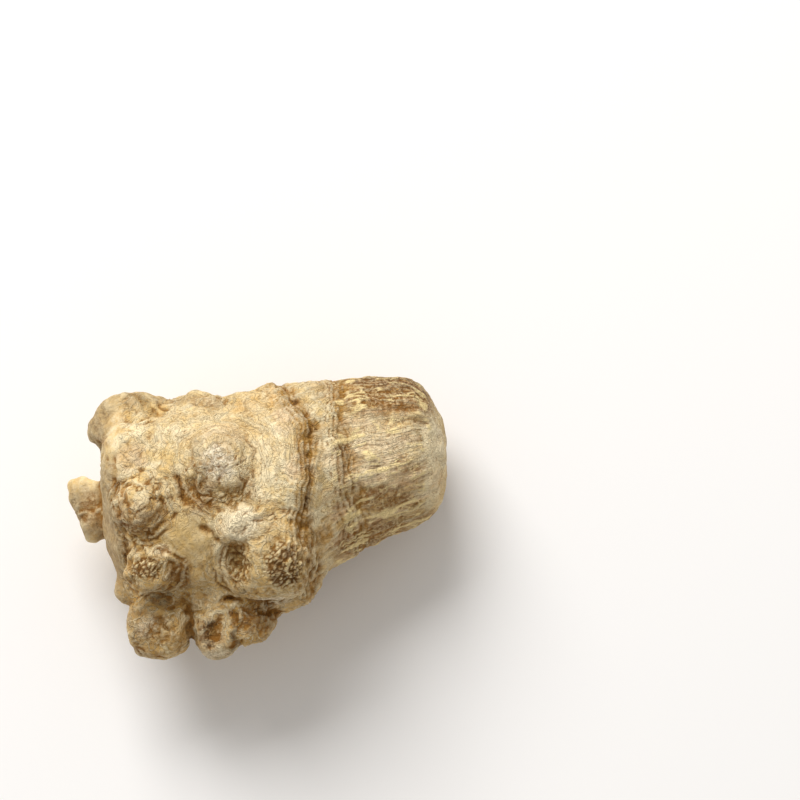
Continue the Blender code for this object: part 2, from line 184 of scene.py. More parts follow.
class Tone(Enum):
    """The tone of a patch. Most are bark, but SHADE patches and a few brown and dark ones are painted shade
    or painted shadow. Its value names the patch's mark on the skin.
    """

    BROWN = "brown"
    DARK = "dark"
    OCHRE = "ochre"
    GREY = "grey"
    PALE = "pale"
    OLIVE = "olive"
    PINK = "pink"
    SHADE = "shade"
    CRUST = "crust"


class Tip(Enum):
    """How a knob's tip is finished: its tones, and the angles from its way where they end and are whole."""

    PLAIN = ((), 0.0, 0.0)
    GREY = ((Tone.GREY,), 74.0, 50.0)
    SCAR = ((Tone.CRUST, Tone.BROWN), 54.0, 30.0)
    OCHRE = ((Tone.OCHRE,), 54.0, 30.0)


@dataclass(frozen=True)
class Knob:
    """A rounded rootlet stub: an egg of two radii turned the way that it points."""

    middle: Point
    way: Point
    length: float
    breadth: float
    fillet: float
    tip: Tip = Tip.PLAIN
    scarred: bool = False
    folds: float = 0.3

    @property
    def size(self) -> float:
        """The larger radius."""
        return max(self.length, self.breadth)

    def distance(self, points: Array) -> Array:
        """Distance from the egg, from its equation and that equation's slope.

        Args:
            points: Points in the root's own axes.

        Returns:
            About how far each point is outside the egg, below zero inside it.
        """
        reach = points - self.middle
        along = reach @ unit(self.way)
        aside = np.sqrt(np.maximum(np.sum(reach**2, axis=1) - along**2, 0.0))
        near = np.hypot(along / self.length, aside / self.breadth)
        slope = np.hypot(along / self.length**2, aside / self.breadth**2)
        return outside_oval(near, slope)

    def from_tip(self, points: Array) -> tuple[Array, Array]:
        """How far each point is from the middle, and its angle from the way that the knob points.

        Args:
            points: Points in the root's own axes.

        Returns:
            The distances, and the angles in degrees.
        """
        reach = points - self.middle
        distance = np.linalg.norm(reach, axis=1)
        cosine = reach @ unit(self.way) / np.maximum(distance, TINY)
        return distance, np.degrees(np.arccos(np.clip(cosine, -1.0, 1.0)))

    def grid(self, rows: int, columns: int) -> Grid:
        """The egg as a grid of latitude and longitude.

        Args:
            rows: Rings between the two poles.
            columns: Points round each ring.

        Returns:
            Its points, sine and cosine of latitude and longitude along three axes, and its faces.
        """
        way = unit(self.way)
        side = np.cross(way, unit((0.3, 0.2, -0.9)))
        side /= np.linalg.norm(side)
        latitude = np.linspace(0, math.pi, rows + 2)[:, None]
        longitude = np.linspace(0, 2 * math.pi, columns, endpoint=False)[None, :]
        spread = self.breadth * np.sin(latitude)
        points = (
            np.array(self.middle)
            + (spread * np.cos(longitude))[..., None] * side
            + (spread * np.sin(longitude))[..., None] * np.cross(way, side)
            + (self.length * np.cos(latitude) * np.ones_like(longitude))[..., None] * way
        )
        return closed_grid(points)


def closed_grid(points: Array) -> Grid:
    """A grid that is closed round each row and drawn to a point at its first and last row.

    Args:
        points: Rows by columns by 3. The first and last rows each hold one place.

    Returns:
        The points, one for each pole, and the quads between rows and the triangles at the poles.
    """
    rows, columns = points.shape[0] - 2, points.shape[1]
    ring = np.arange(rows * columns).reshape(rows, columns) + 1
    after = np.roll(ring, -1, axis=1)
    quads = np.stack([ring[:-1], ring[1:], after[1:], after[:-1]], axis=-1).reshape(-1, 4)
    first = np.stack([np.zeros(columns, int), ring[0], after[0]], axis=-1)
    last = np.stack([np.full(columns, rows * columns + 1), after[-1], ring[-1]], axis=-1)
    joined = np.concatenate([points[0, :1], points[1:-1].reshape(-1, 3), points[-1, :1]])
    return joined, quads.tolist() + first.tolist() + last.tolist()


@dataclass(frozen=True)
class Pit:
    """An oval hollow sunk in the skin."""

    middle: Point
    radii: Point

    def distance(self, points: Array) -> Array:
        """Distance from the hollow's oval, from its equation and that equation's slope.

        Args:
            points: Points in the root's own axes.

        Returns:
            About how far each point is outside the hollow.
        """
        reach = (points - self.middle) / np.array(self.radii)
        near = np.linalg.norm(reach, axis=1)
        slope = np.linalg.norm(reach / np.array(self.radii), axis=1)
        return outside_oval(near, slope)


@dataclass(frozen=True)
class Dome:
    """A domed end of the taproot."""

    middle: Point
    facing: Point
    radius: float
    rounding: float

    def distance(self, points: Array) -> Array:
        """How far each point is beyond the dome: its reach forward, and its square aside over two radii.

        Args:
            points: Points in the root's own axes.

        Returns:
            The distances, below zero inside.
        """
        reach = points - self.middle
        beyond = reach @ np.array(self.facing)
        return beyond + (np.sum(reach**2, axis=1) - beyond**2) / (2 * self.radius)


@dataclass(frozen=True)
class Patch:
    """An oval patch of one tone, with a ragged edge."""

    tone: Tone
    middle: Point
    radii: Point
    strength: float
    inner: float = 0.55
    outer: float = 1.2

    def share(self, ragged: Array) -> Array:
        """How much of the tone each point has: its strength inside, easing to 0 past its oval."""
        near = np.linalg.norm((ragged - self.middle) / np.array(self.radii), axis=1)
        return self.strength * smooth_step(self.outer, self.inner, near)


@dataclass(frozen=True)
class RingFold:
    """A fold that runs round the root: a broken groove with a raised lip on its crown side."""

    stations: Row
    depth: float
    clock: Row = (-180.0, -130.0, -85.0, -45.0, -15.0, 10.0, 30.0, 55.0, 90.0, 130.0)
    groove_width: float = 0.65
    groove_share: float = 1.2
    lip_width: float = 1.1
    lip_share: float = 0.5
    lip_offset: float = 1.5
    wander: float = 0.4

    def across(self, points: Array, clock: Array) -> Array:
        """How far each point is on the tail's side of the fold, which is a closed curve round the root.

        Args:
            points: Points in the root's own axes.
            clock: Each point's angle round the middle.

        Returns:
            The distances along X, below zero on the crown's side.
        """
        angles = (self.clock[-1] - 360.0,) + self.clock + (self.clock[0] + 360.0, self.clock[1] + 360.0)
        stations = self.stations[-1:] + self.stations + self.stations[:2]
        wandering = NOISE.at(points * 0.45) + 0.5 * NOISE.at(points * 1.1 + 51.0)
        return points[:, 0] - smooth_curve(clock, angles, stations) + self.wander * wandering

    def groove(self, points: Array, clock: Array) -> Array:
        """Depth in the groove, from 0 to about 1: a bell across it, broken by noise along it."""
        broken = np.clip(0.6 + 0.8 * NOISE.at(points * 0.8 + 11.0), 0.1, 1.3)
        return broken * bump(self.across(points, clock), self.groove_width)

    def relief(self, points: Array, clock: Array) -> Array:
        """Height of the fold: the lip's bell less the groove's."""
        lip = self.lip_share * bump(self.across(points, clock) + self.lip_offset, self.lip_width)
        return self.depth * (lip - self.groove_share * self.groove(points, clock))


@dataclass(frozen=True)
class Crease:
    """A crease between the knobs of the upper side, along points seen from above."""

    route: tuple[tuple[float, float], ...]
    depth: float
    width: float
    wander: float = 0.3

    def share(self, points: Array) -> Array:
        """Depth in the crease, from 0 to 1: a bell across the nearest stretch of its route.

        Args:
            points: Points in the root's own axes.

        Returns:
            One number for each point.
        """
        place = points[:, :2] + self.wander * NOISE.at(points)[:, None]
        broken = smooth_step(-0.6, 0.3, NOISE.at(points * 0.8 + 37.0))
        nearest = np.full(len(points), np.inf)
        for start, end in zip(self.route, self.route[1:]):
            run = np.array(end) - start
            along = np.clip((place - start) @ run / (run @ run), 0.0, 1.0)
            nearest = np.minimum(nearest, np.linalg.norm(place - start - along[:, None] * run, axis=1))
        return broken * bump(nearest, self.width) * smooth_step(-1.0, 2.0, points[:, 2])


def knobs_of_the_root() -> dict[str, Knob]:
    """The knobs by name, each with its middle, way, length and breadth radii, fillet and tip."""
    return {
        "crown_upper": Knob((-14.0, 9.4, 1.6), (-0.75, 0.60, 0.25), 4.7, 3.7, 1.8, scarred=True),
        "crown_upper_tip": Knob((-17.0, 9.5, 0.6), (-0.90, 0.10, 0.20), 1.5, 1.2, 1.4),
        "crown_upper_shoulder": Knob((-11.7, 11.1, 1.2), (0.10, 0.95, 0.20), 2.1, 2.2, 1.8),
        "crown_bud": Knob((-18.8, 2.3, -2.6), (-0.95, 0.20, 0.10), 2.5, 2.3, 1.0),
        "crown_bud_lower": Knob((-18.0, -0.7, -2.8), (-0.90, -0.40, 0.10), 2.1, 2.1, 1.0, scarred=True),
        "lower_left": Knob((-10.4, -11.9, 3.4), (-0.35, -0.2, 0.9), 3.4, 3.6, 1.2, scarred=True, folds=0.5),
        "lower_middle": Knob((-4.2, -12.8, 4.5), (0.10, -0.98, 0.10), 3.2, 2.6, 1.2, folds=0.2),
        "lower_right": Knob((-0.6, -11.2, 4.8), (0.10, -0.10, 0.98), 2.8, 2.8, 1.2, scarred=True, folds=0.7),
        "lower_ledge": Knob((1.8, -9.3, 3.0), (0.30, -0.90, 0.30), 1.6, 2.2, 1.6),
        "lower_saddle": Knob((-3.8, -8.8, 3.8), (0.00, -0.30, 0.95), 2.7, 3.0, 2.0, folds=0.1),
        "broad_oval": Knob((-4.1, 6.3, 9.7), (0.00, 0.45, 0.90), 2.6, 3.0, 1.8, folds=0.2),
        "broad_oval_foot": Knob((-3.8, 3.8, 10.1), (0.10, -0.20, 0.97), 2.0, 2.7, 1.6, folds=0.7),
        "swirl": Knob((-12.4, 1.1, 9.0), (-0.45, 0.05, 0.90), 2.7, 3.0, 1.2, folds=0.9),
        "smooth_shoulder": Knob((-13.4, 6.3, 6.0), (-0.50, 0.50, 0.70), 2.7, 3.0, 2.6),
        "eye": Knob((-11.4, -5.6, 8.5), (-0.35, -0.40, 0.85), 2.5, 2.7, 1.1, folds=0.8),
        "large": Knob((1.3, -4.2, 8.8), (0.10, -0.35, 0.93), 3.5, 5.2, 1.1, folds=0.4),
        "large_pale_lobe": Knob((-1.4, -0.9, 10.3), (-0.20, 0.10, 0.97), 2.1, 2.2, 1.6),
        "large_grainy_lobe": Knob((3.2, -5.2, 9.8), (0.30, -0.40, 0.87), 2.8, 2.8, 1.6, scarred=True),
        "large_foot": Knob((4.0, -7.2, 2.4), (0.45, -0.80, 0.30), 2.4, 3.2, 2.4),
        "upper_edge": Knob((-6.3, 11.6, 3.4), (-0.10, 0.90, 0.40), 1.8, 2.4, 1.6),
        "ring_bump": Knob((3.2, 12.4, 0.8), (0.10, 0.98, 0.10), 1.4, 2.4, 2.0),
        "ochre_dot": Knob((7.3, -1.4, 6.4), (0.30, -0.40, 0.87), 1.5, 1.4, 1.0, Tip.OCHRE, True),
        "rim_foot": Knob((-13.7, -7.9, 1.8), (-0.75, -0.60, 0.30), 1.7, 1.8, 1.4),
        "back_upper": Knob((-7.4, 11.4, -2.4), (-0.10, 0.95, -0.25), 2.0, 2.0, 1.2),
        "back_middle": Knob((-2.6, 8.8, -6.4), (0.00, 0.75, -0.66), 2.8, 2.7, 1.4, Tip.SCAR, True),
        "back_tail": Knob((7.6, 10.0, -6.0), (0.30, 0.75, -0.60), 2.2, 2.0, 1.2, Tip.SCAR, True),
        "belly_crown": Knob((-12.0, 5.0, -7.0), (-0.45, 0.40, -0.80), 3.0, 2.9, 1.4, Tip.GREY, True),
        "belly_front": Knob((-9.4, -7.6, -5.4), (-0.20, -0.75, -0.62), 3.3, 3.1, 1.4, Tip.GREY, True),
        "belly_rim": Knob((-14.0, -3.4, -5.6), (-0.75, -0.25, -0.60), 2.4, 2.5, 1.2),
        "belly_large": Knob((3.6, -6.4, -6.4), (0.25, -0.66, -0.70), 2.7, 2.4, 1.2, Tip.SCAR, True),
        "belly_tail": Knob((10.4, -1.0, -5.6), (0.45, -0.60, -0.66), 2.4, 2.0, 1.2),
    }


def pits_of_the_root() -> tuple[Pit, ...]:
    """The pits: by the large knob, at the crown's bud, under the upper knob, over the lower ones, on one."""
    return (
        Pit((-2.4, -5.2, 11.4), (1.2, 2.4, 1.5)),
        Pit((-17.6, 4.6, -4.6), (1.2, 2.4, 2.4)),
        Pit((-17.0, 7.2, 2.2), (0.9, 0.9, 0.9)),
        Pit((-7.4, -9.6, 8.6), (2.6, 1.5, 2.0)),
        Pit((-4.8, -12.9, 7.7), (0.9, 1.2, 1.2)),
    )


def creases_of_the_root() -> tuple[Crease, ...]:
    """The creases: off the broad oval, under the large knob, between the lower ones, on the crown's rim."""
    return (
        Crease(
            ((-8.4, 4.4), (-8.0, 2.6), (-7.2, 0.9), (-6.0, -0.6), (-4.6, -1.8), (-3.6, -2.6)), 0.50, 0.45
        ),
        Crease(((-3.6, -9.0), (-1.4, -9.5), (0.6, -10.2), (2.4, -10.6)), 0.75, 0.50),
        Crease(((-2.6, -9.4), (-2.3, -11.8), (-2.0, -14.8)), 0.60, 0.40),
        Crease(((-7.4, -10.4), (-7.1, -12.4), (-7.0, -14.4)), 0.35, 0.40),
        Crease(((-15.8, 6.2), (-15.2, 3.4), (-14.8, 0.6), (-14.2, -2.7), (-13.2, -8.4)), 0.45, 0.40),
    )


@dataclass
class RootForm:
    """The root's form as distances and heights, the same as the solid's."""

    lean_deg: float = 10.0
    rest_point: Point = (0.2, -0.6, -10.95)
    stations: Row = (
        -18.0, -14.5, -12.0, -9.6, -6.3, -2.4, 0.6, 3.6, 5.6, 7.6, 9.4, 13.5, 17.9, 22.0,
    )
    middle_y: Row = (0.5, 0.5, 0.5, 0.8, 1.1, 1.2, 1.5, 2.2, 3.0, 4.1, 5.0, 6.1, 7.2, 8.0)
    middle_z: Row = (
        0.2, 0.3, 0.3, 0.1, -0.1, -0.2, -0.1, 0.0, -0.3, -0.9, -1.3, -2.0, -2.7, -3.3,
    )
    half_width: Row = (
        9.0, 9.9, 10.9, 11.6, 12.0, 12.0, 12.1, 12.3, 11.8, 10.7, 10.0, 9.1, 8.1, 7.4,
    )
    depth_share: float = 0.93
    crown: Dome = Dome((-17.1, 4.6, -1.0), (-1.0, 0.0, 0.0), 45.0, 5.0)
    tail: Dome = Dome((21.0, 5.9, -4.0), (1.0, 0.0, 0.0), 13.0, 1.7)
    knobs: dict[str, Knob] = field(default_factory=knobs_of_the_root)
    knob_warp: float = 0.4
    knob_warp_size: float = 3.6
    pits: tuple[Pit, ...] = field(default_factory=pits_of_the_root)
    pit_fillet: float = 1.4
    ring_one: RingFold = RingFold((4.6, 5.6, 6.9, 6.1, 5.4, 6.3, 6.4, 4.7, 2.4, 3.0), 0.50)
    ring_two: RingFold = RingFold((10.2, 10.8, 12.2, 11.6, 10.9, 10.2, 9.4, 9.4, 8.6, 9.0), 0.30)
    creases: tuple[Crease, ...] = field(default_factory=creases_of_the_root)
    tail_reach: Row = (6.5, 9.5, 18.2, 19.6)
    tail_radius: float = 9.5
    tail_pitch: float = 1.3
    tail_length: float = 6.5
    tail_depth: float = 0.18
    tail_ragged: float = 1.2
    tail_mean: float = 0.5
    tail_least: float = 0.35
    knob_ring_pitch: float = 0.9
    knob_ring_depth: float = 0.13
    knob_ring_reach: float = 2.4
    knob_ring_shared: float = 0.8
    knob_ring_wander: float = 0.8
    knob_ring_angles: Span = (25.0, 60.0)
    knob_lump_size: float = 1.15
    knob_lump_height: float = 0.15
    knob_ring_share: float = 0.6
    scar_spread: float = 0.62
    scar_depth: float = 0.38
    scar_reach: Span = (1.2, 0.4)
    scar_lip: float = 1.25
    scar_lip_share: float = 0.30
    lump_size: float = 5.5
    lump_height: float = 0.40
    grain_size: float = 1.5
    grain_height: float = 0.16

    @property
    def rings(self) -> tuple[RingFold, RingFold]:
        """The two ring folds, from the crown to the tail."""
        return self.ring_one, self.ring_two

    def spine(self, x: Array) -> tuple[Array, Array, Array]:
        """The middle's Y and Z and the half width of the taproot at station x."""
        return (
            smooth_curve(x, self.stations, self.middle_y),
            smooth_curve(x, self.stations, self.middle_z),
            smooth_curve(x, self.stations, self.half_width),
        )

    def clock(self, points: Array) -> Array:
        """Each point's angle round the middle in degrees, from the upper side towards +Y."""
        y, z, _ = self.spine(points[:, 0])
        return np.degrees(np.arctan2(points[:, 1] - y, (points[:, 2] - z) / self.depth_share))

    def taproot_distance(self, points: Array) -> Array:
        """Distance from the plain taproot: an oval tube's, cut by the two domes'.

        Args:
            points: Points in the root's own axes.

        Returns:
            The distances, below zero inside.
        """
        y, z, half = self.spine(points[:, 0])
        across = np.hypot(points[:, 1] - y, (points[:, 2] - z) / self.depth_share)
        distance = (across - half) * self.depth_share
        for dome in (self.crown, self.tail):
            distance = blend_cut(distance, dome.distance(points), dome.rounding)
        return distance

    def distance(self, points: Array) -> Array:
        """Distance from the smooth root: the taproot, its uneven knobs rounded into it, and its pits.

        Args:
            points: Points in the root's own axes.

        Returns:
            About how far each point is outside the root, below zero inside it.
        """
        distance = self.taproot_distance(points)
        uneven = points + self.knob_warp * NOISE.push(points / self.knob_warp_size)
        for knob in self.knobs.values():
            near = np.linalg.norm(uneven - knob.middle, axis=1) < knob.size + 2 * knob.fillet
            distance[near] = blend_union(distance[near], knob.distance(uneven[near]), knob.fillet)
        for pit in self.pits:
            distance = blend_cut(distance, -pit.distance(points), self.pit_fillet)
        return distance

    def slope(self, points: Array, step: float = 0.02) -> Array:
        """How fast the distance grows along each axis, from differences a small step to each side.

        Args:
            points: Points in the root's own axes.
            step: How far to each side the distance is taken.

        Returns:
            Three slopes for each point.
        """
        slopes = [
            (self.distance(points + shift) - self.distance(points - shift)) / (2 * step)
            for shift in np.eye(3) * step
        ]
        return np.stack(slopes, axis=1)

    def tail_share(self, points: Array) -> Array:
        """1 where the tail is wrinkled lengthwise, easing to 0 at the neck and at the tail's end.

        Args:
            points: Points in the root's own axes.

        Returns:
            One number for each point.
        """
        start, full, thin, end = self.tail_reach
        ragged = points[:, 0] + self.tail_ragged * NOISE.at(points * 0.4 + 61.0)
        return smooth_step(start, full, ragged) * smooth_step(end, thin, ragged)

    def lengthwise(self, points: Array, pitch: float, length: float) -> Array:
        """Cells drawn out along the root: the clock's cosine and sine times radius over pitch, then X.

        Args:
            points: Points in the root's own axes.
            pitch: How wide a cell is, round the root.
            length: How long a cell is.

        Returns:
            Each point's place in those cells.
        """
        turn = np.radians(self.clock(points))
        across = self.tail_radius / pitch
        return np.column_stack([np.cos(turn) * across, np.sin(turn) * across, points[:, 0] / length])

    def tail_relief(self, points: Array) -> Array:
        """Height of the tail's main wrinkles: one less twice the size of lengthwise noise, less its mean.

        Args:
            points: Points in the root's own axes.

        Returns:
            One height for each point.
        """
        ridge = 1 - 2 * np.abs(NOISE.at(self.lengthwise(points, self.tail_pitch, self.tail_length) + 3.0))
        eased = smooth_step(-0.4, 0.4, NOISE.at(points * 0.35 + 29.0))
        uneven = self.tail_least + (1 - self.tail_least) * eased
        return self.tail_depth * self.tail_share(points) * uneven * (ridge - self.tail_mean)

    def knob_relief(self, points: Array) -> Array:
        """Height of each knob's lumps, of the folds that ring it, a sine of distance, and of its scar.

        Args:
            points: Points in the root's own axes.

        Returns:
            One height for each point.
        """
        height = np.zeros(len(points))
        lumps = NOISE.at(points / self.knob_lump_size + 19.0)
        nearest = np.min([knob.from_tip(points)[0] - knob.size for knob in self.knobs.values()], axis=0)
        for place, knob in enumerate(self.knobs.values()):
            distance, tip = knob.from_tip(points)
            near = smooth_step(self.knob_ring_reach, 0.0, distance - knob.size)
            near *= smooth_step(self.knob_ring_shared, 0.0, distance - knob.size - nearest)
            turn = distance / self.knob_ring_pitch + self.knob_ring_wander * NOISE.at(points * 0.5 + place)
            uneven = smooth_step(-0.5, 0.3, NOISE.at(points * 0.4 + place))
            ringed = near * uneven * smooth_step(*self.knob_ring_angles, tip) * np.sin(2 * math.pi * turn)
            height += self.knob_ring_depth * (self.knob_ring_share + knob.folds) * ringed
            height += self.knob_lump_height * knob.folds * near * lumps
            if knob.scarred:
                off = np.sin(np.radians(np.minimum(tip, 90.0))) / self.scar_spread
                off += 0.25 * NOISE.at(points * 0.7)
                end, whole = self.scar_reach
                near = smooth_step(knob.size + end, knob.size + whole, distance) * (tip < 90)
                lip = self.scar_lip_share * bump(off - self.scar_lip, self.scar_lip_share)
                height += self.scar_depth * near * (lip - np.exp(-(off**4)))
        return height

    def relief(self, points: Array) -> Array:
        """Height of all that the solid's skin has: lumps, grain, ring folds, wrinkles, knobs and creases.

        Args:
            points: Points in the root's own axes.

        Returns:
            One height for each point.
        """
        clock = self.clock(points)
        lumps = NOISE.at(points / self.lump_size) + 0.5 * NOISE.at(2 * points / self.lump_size + 7.3)
        creased = sum(crease.depth * crease.share(points) for crease in self.creases)
        return (
            self.lump_height * lumps
            + self.grain_height * NOISE.at(points / self.grain_size + 5.0)
            + self.ring_one.relief(points, clock)
            + self.ring_two.relief(points, clock)
            + self.tail_relief(points)
            + self.knob_relief(points)
            - creased
        )

    def place(self) -> Matrix:
        """The matrix from the root's own millimetres to the frame's metres, leaning as the root lies."""
        lean = Matrix.Rotation(math.radians(self.lean_deg), 4, "X")
        return Matrix.Scale(MM, 4) @ lean @ Matrix.Translation(-Vector(self.rest_point))


def grains(points: Array) -> Array:
    """Rounded grains on a lattice of unit cells, one in each cell at a spot shaken off its middle.

    Args:
        points: Points in lattice cells.

    Returns:
        1 on the top of a grain, easing to 0 in the gap between two: the distance to the second nearest spot
        less that to the nearest.
    """
    cell = np.floor(points).astype(int)
    nearest = np.full(len(points), np.inf)
    second = np.full(len(points), np.inf)
    for neighbour in np.ndindex(3, 3, 3):
        corner = cell + neighbour - 1
        away = np.linalg.norm(points - corner - 0.5 - GRAIN_SHAKE * NOISE.way(corner), axis=1)
        second = np.minimum(second, np.maximum(nearest, away))
        nearest = np.minimum(nearest, away)
    return np.clip((second - nearest) / GRAIN_EDGE, 0.0, 1.0)


def patches_of_the_root() -> tuple[Patch, ...]:
    """The patches by tone: middle, three radii, strength and, if given, where the whole part ends. Some
    paint shade and shadow.
    """
    rows: dict[Tone, tuple[Row, ...]] = {
        # SHADE patches: painted shade on the left and lower sides of knobs, the bud and the crown's rim,
        # with a few grey-brown spots
        Tone.SHADE: (
            (-18.0, 10.0, 1.0, 3.2, 4.2, 6.0, 1.3, 0.6), (-14.6, 12.6, 1.6, 4.0, 1.3, 4.5, 0.7),
            (-16.0, -1.0, 3.0, 2.2, 8.6, 8.0, 1.0, 0.75), (-14.8, -8.6, 3.0, 1.4, 2.6, 6.0, 0.7),
            (-9.0, 13.0, 3.0, 3.0, 0.9, 5.0, 0.6), (-19.8, 0.2, 0.0, 2.0, 3.8, 4.0, 1.0),
            (-14.4, 0.4, 9.0, 1.0, 2.6, 4.0, 0.6), (-6.3, 6.6, 11.0, 1.0, 2.6, 4.0, 0.6),
            (-2.4, 8.6, 11.0, 2.4, 0.8, 4.0, 0.4), (-12.6, -11.8, 6.0, 1.8, 2.6, 4.0, 0.8),
            (1.2, -11.0, 6.0, 1.6, 1.4, 4.0, 0.7), (-10.5, -8.6, 8.0, 1.8, 1.2, 5.0, 1.6, 0.4),
            (-4.4, -15.0, 5.0, 2.6, 1.2, 4.0, 0.7),
        ),
        Tone.BROWN: (
            (-16.2, 8.0, 4.0, 1.8, 0.7, 4.0, 0.7), (-18.4, 0.4, 0.0, 1.2, 2.6, 3.0, 0.8),
            (-12.2, -0.3, 11.0, 3.0, 2.4, 3.0, 0.85), (-11.7, -5.6, 10.5, 2.0, 1.6, 3.0, 1.0),
            (-8.0, -6.6, 9.0, 1.6, 2.4, 4.0, 0.9), (-7.6, -9.6, 8.0, 3.0, 1.5, 4.0, 0.4),
            (-6.0, 2.2, 11.0, 2.4, 2.2, 3.0, 1.0), (-2.2, 2.2, 12.0, 2.1, 1.4, 3.0, 1.0),
            (-5.4, 12.6, 6.0, 2.6, 0.9, 4.0, 0.6), (-2.0, -5.2, 11.0, 1.6, 2.9, 4.0, 1.0),
            (3.3, -5.0, 12.0, 2.0, 2.8, 4.0, 0.9), (-10.4, -12.6, 6.0, 2.0, 2.0, 4.0, 1.0),
            (-12.2, -15.0, 3.0, 3.0, 1.2, 4.0, 0.6), (-4.9, -12.8, 7.0, 1.5, 1.9, 3.0, 1.3),
            (0.2, -11.4, 6.0, 2.8, 2.2, 4.0, 0.9), (5.4, 9.0, 10.0, 1.0, 4.6, 5.0, 0.8),
            (9.5, 6.4, 10.0, 0.7, 6.5, 5.0, 0.8), (5.4, -1.0, 11.0, 1.2, 2.6, 4.0, 0.7),
            # (14.5, 13.6): brown bark and painted shadow along the tail's upper edge
            (14.5, 13.6, 1.5, 9.0, 3.2, 8.0, 1.0), (14.5, 1.8, 6.0, 4.2, 1.7, 5.0, 0.9),
            (16.5, 5.4, 5.0, 2.4, 0.9, 5.0, 0.7), (12.6, 11.6, 6.0, 4.0, 0.8, 5.0, 0.6),
            # (12.5, -2.6): painted shade along the tail's lower edge
            (12.5, -2.6, 1.5, 7.5, 2.6, 6.0, 1.0), (18.8, -0.6, 0.0, 2.0, 1.4, 4.0, 0.8),
        ),
        Tone.DARK: (
            (-10.4, -8.8, 8.0, 1.2, 0.8, 5.0, 0.35), (-2.2, -5.4, 11.0, 1.0, 2.3, 4.0, 0.6),
            (-1.5, -8.0, 9.0, 0.7, 0.6, 4.0, 1.0), (-2.3, -12.6, 6.0, 0.45, 2.4, 4.0, 0.9),
            (-7.0, -13.6, 5.0, 0.7, 2.4, 4.0, 0.8), (-4.9, -12.7, 7.0, 1.2, 1.6, 3.0, 1.0),
            # (16.0, 15.0): painted shadow along the tail's upper edge
            (16.0, 15.0, 0.0, 6.0, 2.0, 7.0, 0.6),
        ),
        Tone.OCHRE: (
            (-14.8, 10.0, 5.0, 1.8, 1.8, 4.0, 0.35), (-14.2, 3.2, 9.0, 1.4, 0.7, 3.0, 0.5),
            (-1.0, 12.2, 7.0, 2.0, 1.2, 4.0, 0.5), (-1.2, -6.6, 11.0, 0.6, 1.0, 3.0, 0.8),
            (-8.4, -13.2, 6.0, 1.1, 2.4, 4.0, 1.0), (2.4, 13.4, 4.0, 1.6, 1.8, 5.0, 0.9),
            (5.7, 8.0, 10.5, 1.0, 4.2, 5.0, 0.8), (4.6, 0.2, 12.0, 1.0, 0.8, 3.0, 0.7),
            (19.6, 4.0, 2.0, 1.0, 1.2, 4.0, 0.5),
        ),
        Tone.PALE: (
            (-5.4, 10.4, 8.0, 8.0, 3.4, 6.0, 0.25), (0.8, 6.6, 11.0, 3.6, 5.0, 5.0, 0.4),
            (-10.2, -3.7, 11.0, 1.4, 0.9, 3.0, 0.8), (-0.6, 3.6, 12.0, 2.4, 2.6, 4.0, 0.6),
            (-1.7, -0.6, 12.4, 2.6, 2.6, 4.0, 1.0), (-4.4, -13.2, 6.0, 2.5, 3.2, 4.0, 0.25),
            (8.0, 7.0, 9.0, 1.4, 2.6, 4.0, 0.7), (19.4, 6.4, 3.0, 1.7, 6.0, 7.0, 0.9),
            (13.0, 7.4, 8.0, 6.5, 4.6, 5.0, 0.7),
        ),
        Tone.GREY: (
            (-3.9, 5.8, 13.0, 2.4, 2.6, 3.0, 1.0), (-1.5, -1.0, 12.4, 2.0, 2.0, 3.0, 1.1),
            (2.0, -9.6, 8.0, 2.2, 0.9, 3.0, 0.9), (-11.8, -12.2, 7.0, 1.4, 1.4, 3.0, 0.5),
            (-4.4, -15.0, 4.5, 2.0, 0.8, 4.0, 0.7), (20.4, 8.4, 2.0, 0.8, 1.6, 4.0, 0.7),
        ),
        Tone.PINK: (
            (-13.5, 6.4, 9.0, 2.2, 1.6, 4.0, 0.6), (-3.6, 9.4, 11.0, 4.0, 2.0, 4.0, 0.4),
            (3.4, 11.0, 8.0, 1.5, 2.4, 4.0, 0.8), (4.6, 5.6, 12.0, 1.6, 1.6, 4.0, 0.8),
            (14.2, 8.2, 7.0, 3.2, 1.6, 4.0, 0.9), (14.5, 4.8, 7.0, 3.0, 0.9, 4.0, 0.7),
            (11.8, 9.8, 8.0, 2.6, 1.2, 4.0, 0.8),
        ),
        Tone.OLIVE: ((-7.4, -2.4, 10.0, 3.0, 2.8, 4.0, 0.6),),
        Tone.CRUST: (
            (-11.9, -5.6, 10.5, 2.2, 1.7, 3.0, 0.9), (-2.6, 2.2, 12.0, 1.9, 1.3, 3.0, 0.6),
            (-1.8, -5.2, 11.0, 1.6, 2.9, 4.0, 0.8), (3.2, -5.2, 12.0, 2.5, 3.2, 4.0, 1.0),
            (-9.4, -13.0, 6.5, 2.6, 2.2, 4.0, 0.3),
        ),
    }
    return tuple(Patch(tone, row[:3], row[3:6], *row[6:]) for tone, spots in rows.items() for row in spots)


